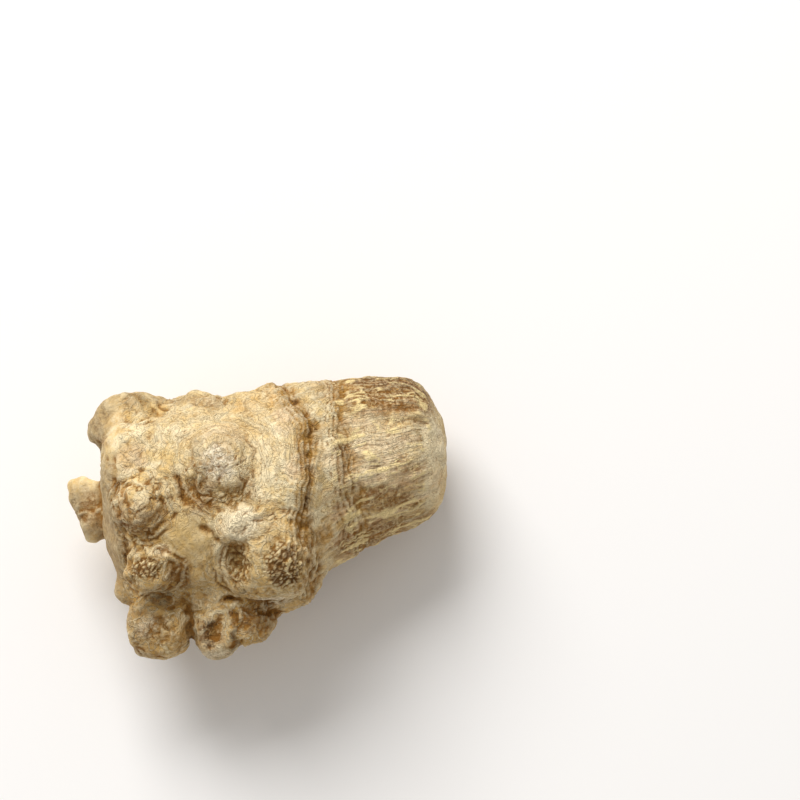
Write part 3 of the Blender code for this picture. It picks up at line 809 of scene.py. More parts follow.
@dataclass
class Survey:
    """What is measured once at every point of the skin, before its fine relief."""

    form: RootForm
    points: Array
    patches: tuple[Patch, ...] = field(default_factory=patches_of_the_root)
    ragged_push: float = 0.5
    ragged_size: float = 1.2
    fold_reach: Span = (2.2, 0.4)
    cap_reach: Span = (1.6, 0.6)
    front_edge: Span = (1.0, -11.0)
    front_lean: float = 0.25
    front_from: float = -5.0
    belly_edge: Span = (-1.0, -8.0)
    rim_edge: Span = (-14.2, -15.4)
    clock: Array = field(init=False)
    tail: Array = field(init=False)
    reach: Array = field(init=False)
    folds: Array = field(init=False)
    tones: dict[Tone, Array] = field(init=False)

    def __post_init__(self) -> None:
        """Measures every point."""
        self.clock = self.form.clock(self.points)
        self.tail = self.form.tail_share(self.points)
        self.reach = np.full(len(self.points), np.inf)
        self.folds = np.zeros(len(self.points))
        self.tones = {tone: np.zeros(len(self.points)) for tone in Tone}
        ragged = self.points + self.ragged_push * NOISE.push(self.points / self.ragged_size + 70.0)
        for patch in self.patches:
            self.add(patch.tone, patch.share(ragged))
        for knob in self.form.knobs.values():
            distance, angle = knob.from_tip(ragged)
            beyond = distance - knob.size
            self.reach = np.minimum(self.reach, beyond)
            self.folds = np.maximum(self.folds, knob.folds * smooth_step(*self.fold_reach, beyond))
            tones, end, whole = knob.tip.value
            for tone in tones:
                self.add(tone, smooth_step(*self.cap_reach, beyond) * smooth_step(end, whole, angle))

    def add(self, tone: Tone, share: Array) -> None:
        """Gives each point this share of a tone, where it has less."""
        self.tones[tone] = np.maximum(self.tones[tone], share)

    @property
    def front_and_belly_shade(self) -> Array:
        """Painted shade: the bark is made browner towards the front, more so near the crown, and on the
        belly, the sides turned away from the light.
        """
        x, y, z = self.points.T
        front = smooth_step(*self.front_edge, y + self.front_lean * (x - self.front_from))
        return np.maximum(front, smooth_step(*self.belly_edge, z))

    @property
    def smooth(self) -> Array:
        """Where the bark is smooth: on olive patches and on the grey rim of the crown."""
        rim = smooth_step(*self.rim_edge, self.points[:, 0]) * (1 - self.folds)
        return np.clip(self.tones[Tone.OLIVE] + rim, 0.0, 1.0)


@dataclass(frozen=True)
class Drift:
    """How one kind of line comes and goes over the skin: noise of a size, from a place in the lattice."""

    size: float
    place: float
    low: float
    high: float

    def share(self, points: Array) -> Array:
        """0 where the noise is below low, 1 where it is above high."""
        return smooth_step(self.low, self.high, NOISE.at(points / self.size + self.place))


@dataclass(frozen=True)
class FineRelief:
    """What dried bark adds that is too fine for the solid: furrows, a net, raised lines, crust and grit.

    The furrows follow two sets of drawn-out cells. The body's run along equal distances from the nearest
    knob, so that they ring the knobs, and the tail's run along the root, as its raised lines do.
    """

    line_pitch: float = 0.46
    line_length: float = 2.6
    line_width: float = 0.20
    line_depth: float = 0.20
    line_least: float = 0.10
    line_drift: Drift = Drift(1.5, 17.0, -0.15, 0.35)
    net_size: float = 0.95
    net_share: float = 0.30
    net_width: float = 0.12
    net_drift: Drift = Drift(1.1, 3.0, -0.3, 0.3)
    tail_pitch: float = 0.62
    tail_length: float = 4.6
    tail_depth: float = 0.07
    tail_net_share: float = 0.35
    tail_drift: Drift = Drift(2.2, 13.0, -0.5, 0.2)
    ridge_pitch: float = 1.05
    ridge_length: float = 6.0
    ridge_width: float = 0.17
    ridge_height: float = 0.12
    ridge_wave: float = 0.45
    ridge_drift: Drift = Drift(1.7, 47.0, -0.45, 0.15)
    crossing_size: float = 1.9
    crossing_width: float = 0.102
    crossing_share: float = 0.8
    crust_size: float = 0.52
    crust_depth: float = 0.24
    ring_line_pitch: float = 0.55
    ring_line_depth: float = 0.09
    ring_line_offset: float = 0.9
    ring_line_reach: float = 1.5
    grit_size: float = 0.55
    grit_depth: float = 0.05

    def body_cells(self, survey: Survey) -> Array:
        """Cells that ring the knobs: the nearest knob's distance over pitch, then two places over length.

        Args:
            survey: What was measured at every point.

        Returns:
            Each point's place in those cells.
        """
        points = survey.points
        reach = survey.reach + 0.30 * NOISE.at(points / 1.6)
        sideways = points[:, [0, 1]] + points[:, [2, 2]] * 0.6
        return np.column_stack([reach / self.line_pitch, sideways / self.line_length])

    def tail_cells(self, survey: Survey) -> Array:
        """Cells that run along the root, made wavy."""
        wavy = survey.points + np.array((0.0, 0.30, 0.30)) * NOISE.push(survey.points / 2.4 + 23.0)
        return survey.form.lengthwise(wavy, self.tail_pitch, self.tail_length)

    def furrows(self, survey: Survey, body_cells: Array, tail_cells: Array) -> Array:
        """Depth in a furrow at each point, from 0 to 1: bells where the noise in the cells crosses zero.

        Args:
            survey: What was measured at every point.
            body_cells: The places in the cells that ring the knobs.
            tail_cells: The places in the cells along the root.

        Returns:
            One number for each point.
        """
        points = survey.points
        broken = self.line_drift.share(points)
        strength = np.clip(self.line_least + survey.folds + 0.5 * survey.tones[Tone.BROWN], 0.0, 1.0)
        body = (0.4 + 0.6 * broken) * strength * bump(NOISE.at(body_cells + 41.0), self.line_width)
        wound = points / self.net_size + 0.9 * NOISE.push(points / 1.6 + 9.0)
        net = bump(NOISE.at(wound), self.net_width) * self.net_drift.share(points)
        body = np.maximum(body, self.net_share * net * (0.3 + 0.7 * broken))
        tail = 0.5 * self.tail_drift.share(points) * bump(NOISE.at(tail_cells), self.line_width)
        tail = np.maximum(tail, self.tail_net_share * net)
        return (survey.tail * tail + (1 - survey.tail) * body) * (1 - 0.8 * survey.smooth)

    def ridges(self, survey: Survey) -> Array:
        """Height on the tail's thin raised lines, from 0 to 1: bells where two noises cross zero.

        Args:
            survey: What was measured at every point.

        Returns:
            One number for each point.
        """
        points = survey.points
        wavy = points + np.array((0.0, self.ridge_wave, self.ridge_wave)) * NOISE.push(points / 2.0 + 61.0)
        cells = survey.form.lengthwise(wavy, self.ridge_pitch, self.ridge_length)
        along = bump(NOISE.at(cells + 5.0), self.ridge_width)
        wound = points / self.crossing_size + 0.7 * NOISE.push(points / 2.2 + 29.0)
        across = bump(NOISE.at(wound + 33.0), self.crossing_width)
        return survey.tail * self.ridge_drift.share(points) * np.maximum(along, self.crossing_share * across)

    def gaps(self, survey: Survey) -> Array:
        """Depth in a gap of the crust, from 0 to 1."""
        uneven = survey.points / self.crust_size + 0.7 * NOISE.push(survey.points + 5.0)
        return np.clip(survey.tones[Tone.CRUST], 0.0, 1.0) * (1 - grains(uneven))

    def ring_lines(self, survey: Survey) -> Array:
        """Lines beside the ring folds: a cosine of the distance across, fading on both sides.

        Args:
            survey: What was measured at every point.

        Returns:
            One number for each point, from -1 to 1.
        """
        lines = np.zeros(len(survey.points))
        for ring in survey.form.rings:
            across = ring.across(survey.points, survey.clock)
            fading = bump(across + self.ring_line_offset, self.ring_line_reach)
            lines += np.cos(2 * math.pi * across / self.ring_line_pitch) * fading
        return lines

    def height(self, survey: Survey, furrows: Array, gaps: Array) -> Array:
        """Height of the whole fine relief: grit, raised and ring lines, less the furrows and the gaps.

        Args:
            survey: What was measured at every point.
            furrows: How deep each point is in a furrow.
            gaps: How deep it is in a gap of the crust.

        Returns:
            One height for each point.
        """
        depth = self.line_depth + (self.tail_depth - self.line_depth) * survey.tail
        grit = NOISE.at(survey.points / self.grit_size) + 0.8 * NOISE.at(survey.points / 1.05 + 88.0)
        grit *= self.grit_depth * (1 - 0.6 * survey.smooth)
        grit += self.ridge_height * self.ridges(survey)
        grit += self.ring_line_depth * self.ring_lines(survey)
        return grit - depth * furrows - self.crust_depth * gaps


@dataclass(frozen=True)
class SkinMarks:
    """Where the finish changes over the skin."""

    fine: FineRelief
    near_rounds: int = 5
    far_rounds: int = 60
    near_depth: float = 0.085
    far_depth: float = 0.75
    second_share: float = 0.6
    side_offset: float = 0.5
    side_widths: Span = (1.1, 0.8)
    side_share: float = 0.7

    def sunk(self, points: Array, mesh: Mesh, rounds: int) -> Array:
        """How far each point lies under the skin smoothed by rounds of averaging with its neighbours.

        Args:
            points: The mesh's points.
            mesh: The mesh, for its edges and normals.
            rounds: How often it is averaged.

        Returns:
            One depth for each point, below zero on a crest.
        """
        ends = np.empty(len(mesh.edges) * 2, np.int32)
        mesh.edges.foreach_get("vertices", ends)
        a, b = ends.reshape(-1, 2).T
        count = np.bincount(a, minlength=len(points)) + np.bincount(b, minlength=len(points))
        smooth = points.copy()
        for _ in range(rounds):
            total = np.zeros_like(smooth)
            for axis in range(3):
                total[:, axis] += np.bincount(a, weights=smooth[b, axis], minlength=len(points))
                total[:, axis] += np.bincount(b, weights=smooth[a, axis], minlength=len(points))
            smooth = 0.5 * smooth + 0.5 * total / count[:, None]
        return np.sum((smooth - points) * read_normals(mesh), axis=1)

    def hollows(self, mesh: Mesh) -> dict[str, Array]:
        """The marks of hollows and crests: 0 on the smoothed skin, 1 at the named depth or height. The
        hollow marks carry brown dirt and painted shade.

        Args:
            mesh: The finished mesh, in the root's own millimetres.

        Returns:
            The marks by name.
        """
        points = read_points(mesh)
        near = self.sunk(points, mesh, self.near_rounds)
        far = self.sunk(points, mesh, self.far_rounds)
        return {
            "near_hollow_dirt_and_shade": np.clip(near / self.near_depth, 0.0, 1.0),
            "crest": np.clip(-near / self.near_depth, 0.0, 1.0),
            "far_hollow_dirt_and_shade": np.clip(far / self.far_depth, 0.0, 1.0),
        }

    def folds(self, survey: Survey) -> Array:
        """How deep each point is in a ring fold's groove or in a crease, from 0 to 1.

        Args:
            survey: What was measured at every point.

        Returns:
            One number for each point.
        """
        points, form = survey.points, survey.form
        one, two = (ring.groove(points, survey.clock) for ring in form.rings)
        creased = sum(crease.share(points) for crease in form.creases)
        return np.clip(one + self.second_share * two + creased, 0.0, 1.0)

    def fold_side(self, survey: Survey) -> Array:
        """Where the bark is stained by a ring fold: a bell across it, the first's on its crown side.

        Args:
            survey: What was measured at every point.

        Returns:
            One number for each point.
        """
        one, two = (ring.across(survey.points, survey.clock) for ring in survey.form.rings)
        wide, narrow = self.side_widths
        stain = bump(one + self.side_offset, wide) + self.side_share * bump(two, narrow)
        return np.clip(stain, 0.0, 1.0)

    def write(self, mesh: Mesh, survey: Survey, furrows: Array, gaps: Array) -> None:
        """Writes the marks on the mesh, a number a point, and the sets of cells, three numbers a point.

        Args:
            mesh: The skin.
            survey: What was measured at every point.
            furrows: How deep each point is in a furrow.
            gaps: How deep it is in a gap of the crust.
        """
        marks = {tone.value: np.clip(share, 0.0, 1.0) for tone, share in survey.tones.items()}
        marks |= {"furrow": furrows, "gap": gaps, "fold": self.folds(survey), "tail": survey.tail}
        marks |= {"fold_side": self.fold_side(survey), "ridge": self.fine.ridges(survey)}
        marks |= {"knob_fold": np.clip(survey.folds, 0.0, 1.0), "front_and_belly_shade": survey.front_and_belly_shade}
        marks |= {"smooth": survey.smooth}
        marks |= self.hollows(mesh)
        for name, values in marks.items():
            mesh.attributes.new(name, "FLOAT", "POINT").data.foreach_set("value", values.astype(np.float32))
        cells = {"body_cells": self.fine.body_cells(survey), "tail_cells": self.fine.tail_cells(survey)}
        for name, values in cells.items():
            data = mesh.attributes.new(name, "FLOAT_VECTOR", "POINT").data
            data.foreach_set("vector", values.astype(np.float32).ravel())


@dataclass
class RootSkin:
    """The root's fine skin: one closed mesh that stands for the solid."""

    form: RootForm = field(default_factory=RootForm)
    fine: FineRelief = field(default_factory=FineRelief)
    rough_voxel: float = 0.42
    voxel: float = 0.232
    rough_steps: int = 5
    fine_steps: int = 1
    least_slope: float = 0.05
    egg_rows: int = 14
    egg_columns: int = 24
    tube_rows: int = 44
    tube_columns: int = 56

    def taproot_grid(self) -> Grid:
        """The plain taproot as a grid: an oval about the spine at each station, pointed at both ends.

        Returns:
            Its points and faces.
        """
        start, end = self.form.crown.middle[0], self.form.tail.middle[0]
        share = np.linspace(-1, 1, self.tube_rows)
        x = start + (end - start) * (share + 1) / 2
        y, z, half = self.form.spine(x)
        radius = (half * (1 - share**8) ** 0.5)[:, None]
        turn = np.linspace(0, 2 * math.pi, self.tube_columns, endpoint=False)[None, :]
        points = np.stack(
            [
                x[:, None] + 0 * turn,
                y[:, None] + radius * np.sin(turn),
                z[:, None] + radius * self.form.depth_share * np.cos(turn),
            ],
            axis=-1,
        )
        return closed_grid(points)

    def lumps(self) -> Mesh:
        """The taproot's and the knobs' closed surfaces in one mesh, not yet joined.

        Returns:
            The mesh.
        """
        parts = [self.taproot_grid()]
        parts += [knob.grid(self.egg_rows, self.egg_columns) for knob in self.form.knobs.values()]
        points: list[Array] = []
        faces: list[list[int]] = []
        count = 0
        for part_points, part_faces in parts:
            points.append(part_points)
            faces += [[corner + count for corner in face] for face in part_faces]
            count += len(part_points)
        mesh = bpy.data.meshes.new("lumps")
        mesh.from_pydata(np.concatenate(points).tolist(), [], faces)
        mesh.validate()
        return mesh

    def evened(self, mesh: Mesh, voxel: float) -> Mesh:
        """The mesh as one closed skin of even faces, by a voxel remesh.

        Args:
            mesh: The mesh to even.
            voxel: The size of a voxel.

        Returns:
            The new mesh. The old one is removed.
        """
        holder = new_object("evened", mesh)
        remesh = holder.modifiers.new("even", "REMESH")
        remesh.mode = "VOXEL"
        remesh.voxel_size = voxel
        graph = bpy.context.evaluated_depsgraph_get()
        result = bpy.data.meshes.new_from_object(holder.evaluated_get(graph))
        bpy.data.objects.remove(holder)
        bpy.data.meshes.remove(mesh)
        return result

    def fit(self, mesh: Mesh, steps: int) -> None:
        """Draws the mesh onto the smooth form in steps, each the distance over the slope, down the slope.

        Args:
            mesh: The mesh to draw.
            steps: How many steps it takes.
        """
        points = read_points(mesh)
        for _ in range(steps):
            slope = self.form.slope(points)
            steepness = np.maximum(np.sum(slope**2, axis=1), self.least_slope)
            points = points - (self.form.distance(points) / steepness)[:, None] * slope
        write_points(mesh, points)

    def build(self) -> bpy.types.Object:
        """Makes the skin, marks it for its finish and lays it down where the solid lies.

        Returns:
            The skin's object, at the origin, with its place in its mesh.
        """
        rough = self.evened(self.lumps(), self.rough_voxel)
        self.fit(rough, self.rough_steps)
        mesh = self.evened(rough, self.voxel)
        self.fit(mesh, self.fine_steps)
        points = read_points(mesh)
        write_points(mesh, points + read_normals(mesh) * self.form.relief(points)[:, None])

        points = read_points(mesh)
        survey = Survey(self.form, points)
        furrows = self.fine.furrows(survey, self.fine.body_cells(survey), self.fine.tail_cells(survey))
        gaps = self.fine.gaps(survey)
        height = self.fine.height(survey, furrows, gaps)
        write_points(mesh, points + read_normals(mesh) * height[:, None])
        SkinMarks(self.fine).write(mesh, survey, furrows, gaps)

        mesh.transform(self.form.place())
        laid = read_points(mesh)
        laid[:, 2] = np.maximum(laid[:, 2], 0.0)
        write_points(mesh, laid)
        mesh.name = SKIN_NAME
        mesh.shade_smooth()
        return new_object(SKIN_NAME, mesh)


def read_points(mesh: Mesh) -> Array:
    """The mesh's vertices as an array of points."""
    values = np.empty(len(mesh.vertices) * 3)
    mesh.vertices.foreach_get("co", values)
    return values.reshape(-1, 3)


def read_normals(mesh: Mesh) -> Array:
    """The mesh's vertex normals as an array of directions."""
    values = np.empty(len(mesh.vertices) * 3)
    mesh.vertex_normals.foreach_get("vector", values)
    return values.reshape(-1, 3)


def write_points(mesh: Mesh, points: Array) -> None:
    """Puts an array of points into the mesh's vertices."""
    mesh.vertices.foreach_set("co", points.ravel())
    mesh.update()


def new_object(name: str, data: bpy.types.ID) -> bpy.types.Object:
    """An object of this name and data, put into the scene at the origin.

    Args:
        name: Its name.
        data: Its mesh, lamp or camera.

    Returns:
        The object.
    """
    made = bpy.data.objects.new(name, data)
    bpy.context.scene.collection.objects.link(made)
    return made


def new_material(name: str) -> tuple[bpy.types.Material, bpy.types.Node]:
    """A material of this name that uses nodes, and its shader.

    Args:
        name: Its name.

    Returns:
        The material and its shader node.
    """
    material = bpy.data.materials.new(name)
    material.use_nodes = True
    return material, material.node_tree.nodes["Principled BSDF"]


def paint(red: float, green: float, blue: float) -> Colour:
    """A screen colour as a linear one: above the toe, (share + 0.055) / 1.055 to the power 2.4.

    Args:
        red: From 0 to 255.
        green: From 0 to 255.
        blue: From 0 to 255.

    Returns:
        The linear colour, with its alpha.
    """
    shares = [value / 255 for value in (red, green, blue)]
    linear = [s / 12.92 if s <= 0.04045 else ((s + 0.055) / 1.055) ** 2.4 for s in shares]
    return (*linear, 1.0)


class Graph:
    """A short way to write a material's nodes."""

    def __init__(self, tree: bpy.types.NodeTree) -> None:
        """Keeps the tree that the nodes go into."""
        self.tree = tree

    def node(self, kind: str, **settings: object) -> bpy.types.Node:
        """A new node of a kind, with its own settings.

        Args:
            kind: The name of its type.
            settings: Its properties by name.

        Returns:
            The node.
        """
        made = self.tree.nodes.new(kind)
        for name, value in settings.items():
            setattr(made, name, value)
        return made

    def feed(self, socket: Socket, value: object) -> None:
        """Links a socket to another node's, or sets its value.

        Args:
            socket: The socket that is fed.
            value: A socket, or a number or colour.
        """
        if isinstance(value, Socket):
            self.tree.links.new(value, socket)
        else:
            socket.default_value = value

    def feeds(self, made: bpy.types.Node, settings: dict[str, object]) -> bpy.types.Node:
        """Feeds a node's sockets by their names.

        Args:
            made: The node.
            settings: What each socket gets.

        Returns:
            The same node.
        """
        for name, value in settings.items():
            self.feed(made.inputs[name], value)
        return made

    def sums(self, operation: str, *values: object) -> Socket:
        """One sum of numbers: ADD, SUBTRACT, MULTIPLY, MAXIMUM, ABSOLUTE and so on.

        Args:
            operation: What is done.
            values: Numbers or sockets.

        Returns:
            The result's socket.
        """
        made = self.node("ShaderNodeMath", operation=operation)
        for socket, value in zip(made.inputs, values):
            self.feed(socket, value)
        return made.outputs[0]

    def chain(self, operation: str, *values: object) -> object:
        """Numbers joined by one operation, from the first to the last.

        Args:
            operation: What is done.
            values: Numbers or sockets.

        Returns:
            The result's socket.
        """
        result = values[0]
        for value in values[1:]:
            result = self.sums(operation, result, value)
        return result

    def times(self, *values: object) -> object:
        """The product of numbers."""
        return self.chain("MULTIPLY", *values)

    def plus(self, *values: object) -> object:
        """The total of numbers."""
        return self.chain("ADD", *values)

    def span(
        self, value: object, low: float, high: float, to_low: float = 0.0, to_high: float = 1.0
    ) -> Socket:
        """The value's place between low and high, eased, as a number between two others.

        Args:
            value: A number or a socket.
            low: Where the result is to_low.
            high: Where it is to_high.
            to_low: A number.
            to_high: A number.

        Returns:
            The result's socket.
        """
        made = self.node("ShaderNodeMapRange", interpolation_type="SMOOTHSTEP")
        settings = {"Value": value, "From Min": low, "From Max": high, "To Min": to_low, "To Max": to_high}
        return self.feeds(made, settings).outputs["Result"]

    def mix(self, share: object, a: object, b: object) -> Socket:
        """Colour a with this share of colour b.

        Args:
            share: From 0 to 1.
            a: A colour.
            b: A colour.

        Returns:
            The mixed colour's socket.
        """
        made = self.node("ShaderNodeMix", data_type="RGBA")
        self.feed(made.inputs["Factor"], share)
        self.feed(made.inputs[MIX_A], a)
        self.feed(made.inputs[MIX_B], b)
        return made.outputs[MIX_RESULT]

    def noise(
        self, place: object, cells: float, detail: float = 2.0, roughness: float = 0.5, winding: float = 0.0
    ) -> object:
        """Noise with so many features to a unit of its place, wound by so much.

        Args:
            place: Where it is read.
            cells: How many features a unit has.
            detail: How many finer layers.
            roughness: How strong those are.
            winding: How far it is pushed about.

        Returns:
            The noise's socket.
        """
        settings = {"Vector": place, "Scale": cells, "Detail": detail}
        settings |= {"Roughness": roughness, "Distortion": winding}
        return self.feeds(self.node("ShaderNodeTexNoise"), settings).outputs["Fac"]

    def mark(self, name: str) -> Socket:
        """One of the skin's marks."""
        return self.node("ShaderNodeAttribute", attribute_name=name).outputs["Fac"]

    def cells(self, name: str) -> Socket:
        """One of the skin's sets of cells."""
        return self.node("ShaderNodeAttribute", attribute_name=name).outputs["Vector"]


@dataclass(frozen=True)
class BarkFinish:
    """Dried bark: cream skin over tan, brown in its furrows, grey-white caps, dark crusted scars."""

    cream: Colour = paint(240, 224, 184)
    straw: Colour = paint(231, 206, 151)
    ridge: Colour = paint(250, 224, 160)
    tan: Colour = paint(206, 162, 84)
    brown: Colour = paint(136, 88, 20)
    dark: Colour = paint(76, 48, 12)
    grey: Colour = paint(250, 236, 208)
    slate: Colour = paint(196, 174, 140)
    # painted shade, for the SHADE patches on the sides of knobs and the crown's rim
    shade: Colour = paint(146, 120, 82)
    pale: Colour = paint(252, 234, 194)
    pink: Colour = paint(220, 186, 144)
    olive: Colour = paint(186, 154, 92)
    ochre: Colour = paint(198, 142, 54)
    rust: Colour = paint(146, 98, 32)
    amber: Colour = paint(178, 132, 54)
    wide_mm: float = 6.0
    patch_mm: float = 1.5
    net_mm: float = 1.1
    fleck_mm: float = 0.42
    speck_mm: float = 0.17
    bump_mm: float = 0.33
    specular: float = 0.3

    def material(self) -> bpy.types.Material:
        """Builds the finish from the object's coordinates and the skin's marks, as layers of colour.

        Returns:
            The material.
        """
        material, shader = new_material("dried_bark_skin")
        graph = Graph(material.node_tree)
        sums, times, plus, span, mark = graph.sums, graph.times, graph.plus, graph.span, graph.mark
        place = graph.node("ShaderNodeTexCoord").outputs["Object"]
        per_mm = 1 / MM
        wide = graph.noise(place, per_mm / self.wide_mm, 3.0)
        patch = graph.noise(place, per_mm / self.patch_mm, 4.0, 0.6)
        fleck = graph.noise(place, per_mm / self.fleck_mm, 3.0, 0.65)
        speck = graph.noise(place, per_mm / self.speck_mm, 2.0, 0.6)
        net = graph.noise(place, per_mm / self.net_mm, 2.0, 0.55, 1.2)
        tail = mark("tail")
        body = sums("SUBTRACT", 1.0, tail)
        front_and_belly_shade = mark("front_and_belly_shade")
        knob_fold = mark("knob_fold")

        def woven(cells: float, detail: float, roughness: float, winding: float = 0.0) -> object:
            """The body's and the tail's drawn-out noise, each where it belongs."""
            on_body = graph.noise(graph.cells("body_cells"), cells, detail, roughness, winding)
            on_tail = graph.noise(graph.cells("tail_cells"), cells, detail, roughness, winding)
            return plus(times(body, on_body), times(tail, on_tail))

        def lines(value: object, width: float) -> object:
            """1 where a noise crosses its mean, easing to 0 at a width to each side."""
            off = sums("ABSOLUTE", sums("SUBTRACT", value, 0.5))
            return span(off, width, 0.2 * width)

        fibre = woven(1.25, 3.0, 0.65)
        streak = woven(0.42, 2.0, 0.5)
        veins = woven(0.75, 2.0, 0.5, 0.7)
        rough = sums("SUBTRACT", 1.0, times(mark("smooth"), 0.7))
        patchy = span(patch, 0.66, 0.36, 0.35, 1.0)
        # the painted shade of the front and belly also makes the tan patches busier
        busy = plus(0.20, times(tail, 0.15), times(knob_fold, 0.50), times(front_and_belly_shade, 0.45))
        busy = sums("MINIMUM", busy, 1.0)
        ridges = sums("MAXIMUM", lines(veins, 0.045), times(lines(net, 0.030), 0.8))
        ridges = times(ridges, rough, span(fleck, 0.34, 0.50, 0.25, 1.0))
        greys = graph.mix(span(fleck, 0.40, 0.56), self.slate, self.grey)
        crumb = graph.mix(span(fleck, 0.36, 0.52), self.amber, self.ridge)
        stain = span(fleck, 0.62, 0.44, 0.30, 0.95)
        strength = sums("SUBTRACT", plus(0.26, times(knob_fold, 0.55)), times(tail, 0.18))
        specks = span(plus(fleck, times(speck, 0.5)), 0.84, 0.94)
        halo = times(mark("fold_side"), span(patch, 0.60, 0.42, 0.15, 0.85))
        # raised lines are lightened less where the front and belly are painted in shade
        raised = times(
            span(mark("ridge"), 0.30, 0.90, 0.0, 0.80),
            span(mark("dark"), 0.0, 1.0, 1.0, 0.4),
            span(front_and_belly_shade, 0.3, 1.0, 1.0, 0.5),
        )

        layers = (
            # The ground
            (span(wide, 0.48, 0.74, 0.0, 0.45), self.tan),
            (times(span(streak, 0.44, 0.62), 0.40, rough), self.tan),
            (times(busy, span(patch, 0.64, 0.42, 0.30, 0.85)), self.tan),
            (times(tail, span(streak, 0.50, 0.60), 0.75), self.pink),
            (times(tail, span(streak, 0.46, 0.37), 0.65), self.amber),
            # painted shade: amber over the front and belly
            (times(front_and_belly_shade, 0.36), self.amber),
            (times(ridges, busy, 0.85), self.cream),
            # The patches
            (times(mark("pink"), span(patch, 0.3, 0.6, 0.4, 0.9)), self.pink),
            (times(mark("olive"), 0.8), self.olive),
            # painted shade on the sides of knobs and the crown's rim, with a few grey-brown spots
            (times(mark("shade"), span(fleck, 0.65, 0.35, 0.5, 0.95)), self.shade),
            (times(mark("grey"), span(patch, 0.30, 0.55, 0.45, 0.95)), greys),
            (times(mark("pale"), span(fleck, 0.36, 0.56, 0.3, 0.9)), self.pale),
            (times(mark("brown"), stain), self.brown),
            (times(mark("ochre"), span(patch, 0.65, 0.4, 0.3, 0.8)), self.ochre),
            (times(mark("dark"), stain), self.dark),
            # Painted shade and brown dirt in hollows, then fibres, flecks and furrows
            # painted shade and brown dirt in the large hollows between the knobs
            (span(mark("far_hollow_dirt_and_shade"), 0.05, 0.8, 0.0, 0.65), self.tan),
            (span(mark("far_hollow_dirt_and_shade"), 0.35, 1.0, 0.0, 0.65), self.brown),
            (times(span(fibre, 0.48, 0.34), strength, rough, patchy), self.brown),
            (times(span(fleck, 0.54, 0.66), 0.40, rough, patchy), self.tan),
            (times(specks, 0.45, rough), self.brown),
            (span(mark("furrow"), 0.1, 0.8, 0.0, 0.75), self.brown),
            # painted shade and brown dirt in the fine crevices
            (span(mark("near_hollow_dirt_and_shade"), 0.10, 0.9, 0.0, 0.75), self.brown),
            # The ring folds and creases
            (halo, self.amber),
            (times(halo, span(fleck, 0.56, 0.40), 0.6), self.rust),
            (times(mark("fold"), span(fleck, 0.62, 0.42, 0.35, 1.0)), self.rust),
            (times(span(mark("fold"), 0.55, 0.95), span(fleck, 0.55, 0.40), 0.7), self.dark),
            # Crusted scars, crests and raised lines
            (times(mark("crust"), 0.60), crumb),
            (span(mark("gap"), 0.10, 0.75, 0.0, 0.95), self.brown),
            (span(mark("gap"), 0.40, 0.95, 0.0, 0.60), self.dark),
            (times(mark("crest"), span(patch, 0.3, 0.6, 0.2, 0.55)), self.cream),
            (raised, self.ridge),
        )
        colour = graph.mix(span(patch, 0.36, 0.60), self.straw, self.cream)
        for share, tone in layers:
            colour = graph.mix(share, colour, tone)
        graph.feeds(shader, {"Base Color": colour, "Roughness": span(patch, 0.35, 0.65, 0.70, 0.90)})
        shader.inputs["Specular IOR Level"].default_value = self.specular

        height = plus(times(fibre, 0.8), times(fleck, 0.6), times(ridges, 0.35), times(speck, 0.25))
        settings = {"Strength": 1.0, "Distance": self.bump_mm * MM, "Height": times(height, rough)}
        relief = graph.feeds(graph.node("ShaderNodeBump"), settings)
        graph.feed(shader.inputs["Normal"], relief.outputs["Normal"])
        return material


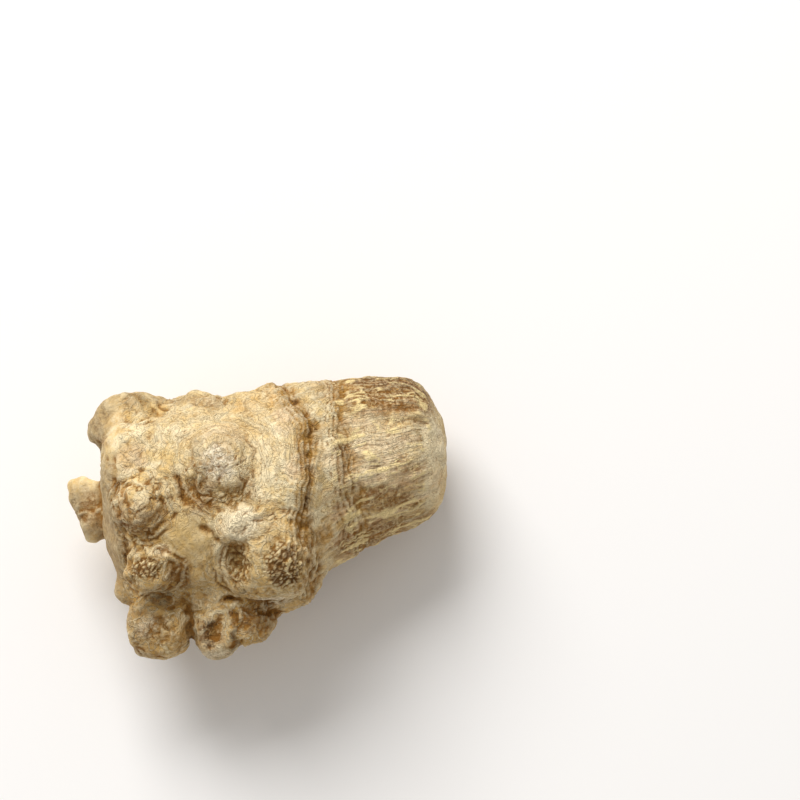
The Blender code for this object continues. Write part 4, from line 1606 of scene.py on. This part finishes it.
@dataclass(frozen=True)
class Studio:
    """A pale floor, one large soft key from above the picture, and white surroundings."""

    floor_size: float = 3.0
    floor_colour: Colour = paint(243, 241, 239)
    floor_roughness: float = 0.9
    floor_specular: float = 0.1
    key_way: Point = (-0.30, 0.66, 0.69)
    key_distance: float = 0.8
    key_size: float = 0.5
    key_power: float = 6.6
    fill_colour: Colour = (1.0, 0.985, 0.96, 1.0)
    fill_strength: float = 0.50

    def floor(self) -> bpy.types.Object:
        """A level square at the height that the root rests on.

        Returns:
            The floor's object.
        """
        half = self.floor_size / 2
        mesh = bpy.data.meshes.new("floor")
        corners = [(-half, -half, 0.0), (half, -half, 0.0), (half, half, 0.0), (-half, half, 0.0)]
        mesh.from_pydata(corners, [], [(0, 1, 2, 3)])
        material, shader = new_material("pale_floor")
        shader.inputs["Base Color"].default_value = self.floor_colour
        shader.inputs["Roughness"].default_value = self.floor_roughness
        shader.inputs["Specular IOR Level"].default_value = self.floor_specular
        mesh.materials.append(material)
        return new_object("floor", mesh)

    def key(self) -> bpy.types.Object:
        """The key light, a square lamp that faces the root.

        Returns:
            The lamp's object.
        """
        lamp = bpy.data.lights.new("key", "AREA")
        lamp.shape = "SQUARE"
        lamp.size = self.key_size
        lamp.energy = self.key_power
        key = new_object("key", lamp)
        way = Vector(self.key_way).normalized()
        key.location = way * self.key_distance
        key.rotation_euler = way.to_track_quat("Z", "Y").to_euler()
        return key

    def surroundings(self) -> bpy.types.World:
        """Even white light from all round.

        Returns:
            The world.
        """
        world = bpy.data.worlds.new("surroundings")
        world.use_nodes = True
        background = world.node_tree.nodes["Background"]
        background.inputs["Color"].default_value = self.fill_colour
        background.inputs["Strength"].default_value = self.fill_strength
        bpy.context.scene.world = world
        return world


@dataclass(frozen=True)
class Viewpoint:
    """The camera: nearly straight above, with a long lens, aimed beside the root as the picture is."""

    elevation_deg: float = 80.0
    aim: Point = (15.73, 12.65, 0.0)
    frame_width: float = 88.0
    distance: float = 700.0
    sensor: float = 36.0
    clip: Span = (0.05, 10.0)

    def camera(self, form: RootForm) -> bpy.types.Object:
        """Makes the scene's camera.

        Args:
            form: The root, whose own axes the aim is given in.

        Returns:
            The camera's object.
        """
        data = bpy.data.cameras.new("camera")
        data.sensor_width = self.sensor
        data.lens = self.sensor * self.distance / self.frame_width
        data.clip_start, data.clip_end = self.clip
        data.dof.use_dof = False
        camera = new_object("camera", data)
        elevation = math.radians(self.elevation_deg)
        back = Vector((0.0, -math.cos(elevation), math.sin(elevation)))
        camera.location = form.place() @ Vector(self.aim) + back * self.distance * MM
        camera.rotation_euler = back.to_track_quat("Z", "Y").to_euler()
        bpy.context.scene.camera = camera
        return camera


def report(piece: bpy.types.Object) -> None:
    """Logs a piece's name, triangles and size.

    Args:
        piece: The piece's object.
    """
    triangles = sum(len(face.vertices) - 2 for face in piece.data.polygons)
    sides = " x ".join(f"{side / MM:.1f}" for side in piece.dimensions)
    LOG.info("%s: %d triangles, %s mm", piece.name, triangles, sides)


def main() -> None:
    """Loads the frame, then builds and dresses the root and sets up the studio."""
    logging.basicConfig(level=logging.INFO, format="%(name)s %(message)s")
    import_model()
    bpy.context.scene.view_settings.view_transform = "Standard"

    skin = RootSkin()
    Viewpoint().camera(skin.form)
    piece = skin.build()
    piece.data.materials.clear()
    piece.data.materials.append(BarkFinish().material())
    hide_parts(NAME)
    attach(piece, BODY)
    report(piece)

    studio = Studio()
    floor = studio.floor()
    report(floor)
    studio.key()
    studio.surroundings()


if __name__ == "__main__":
    main()
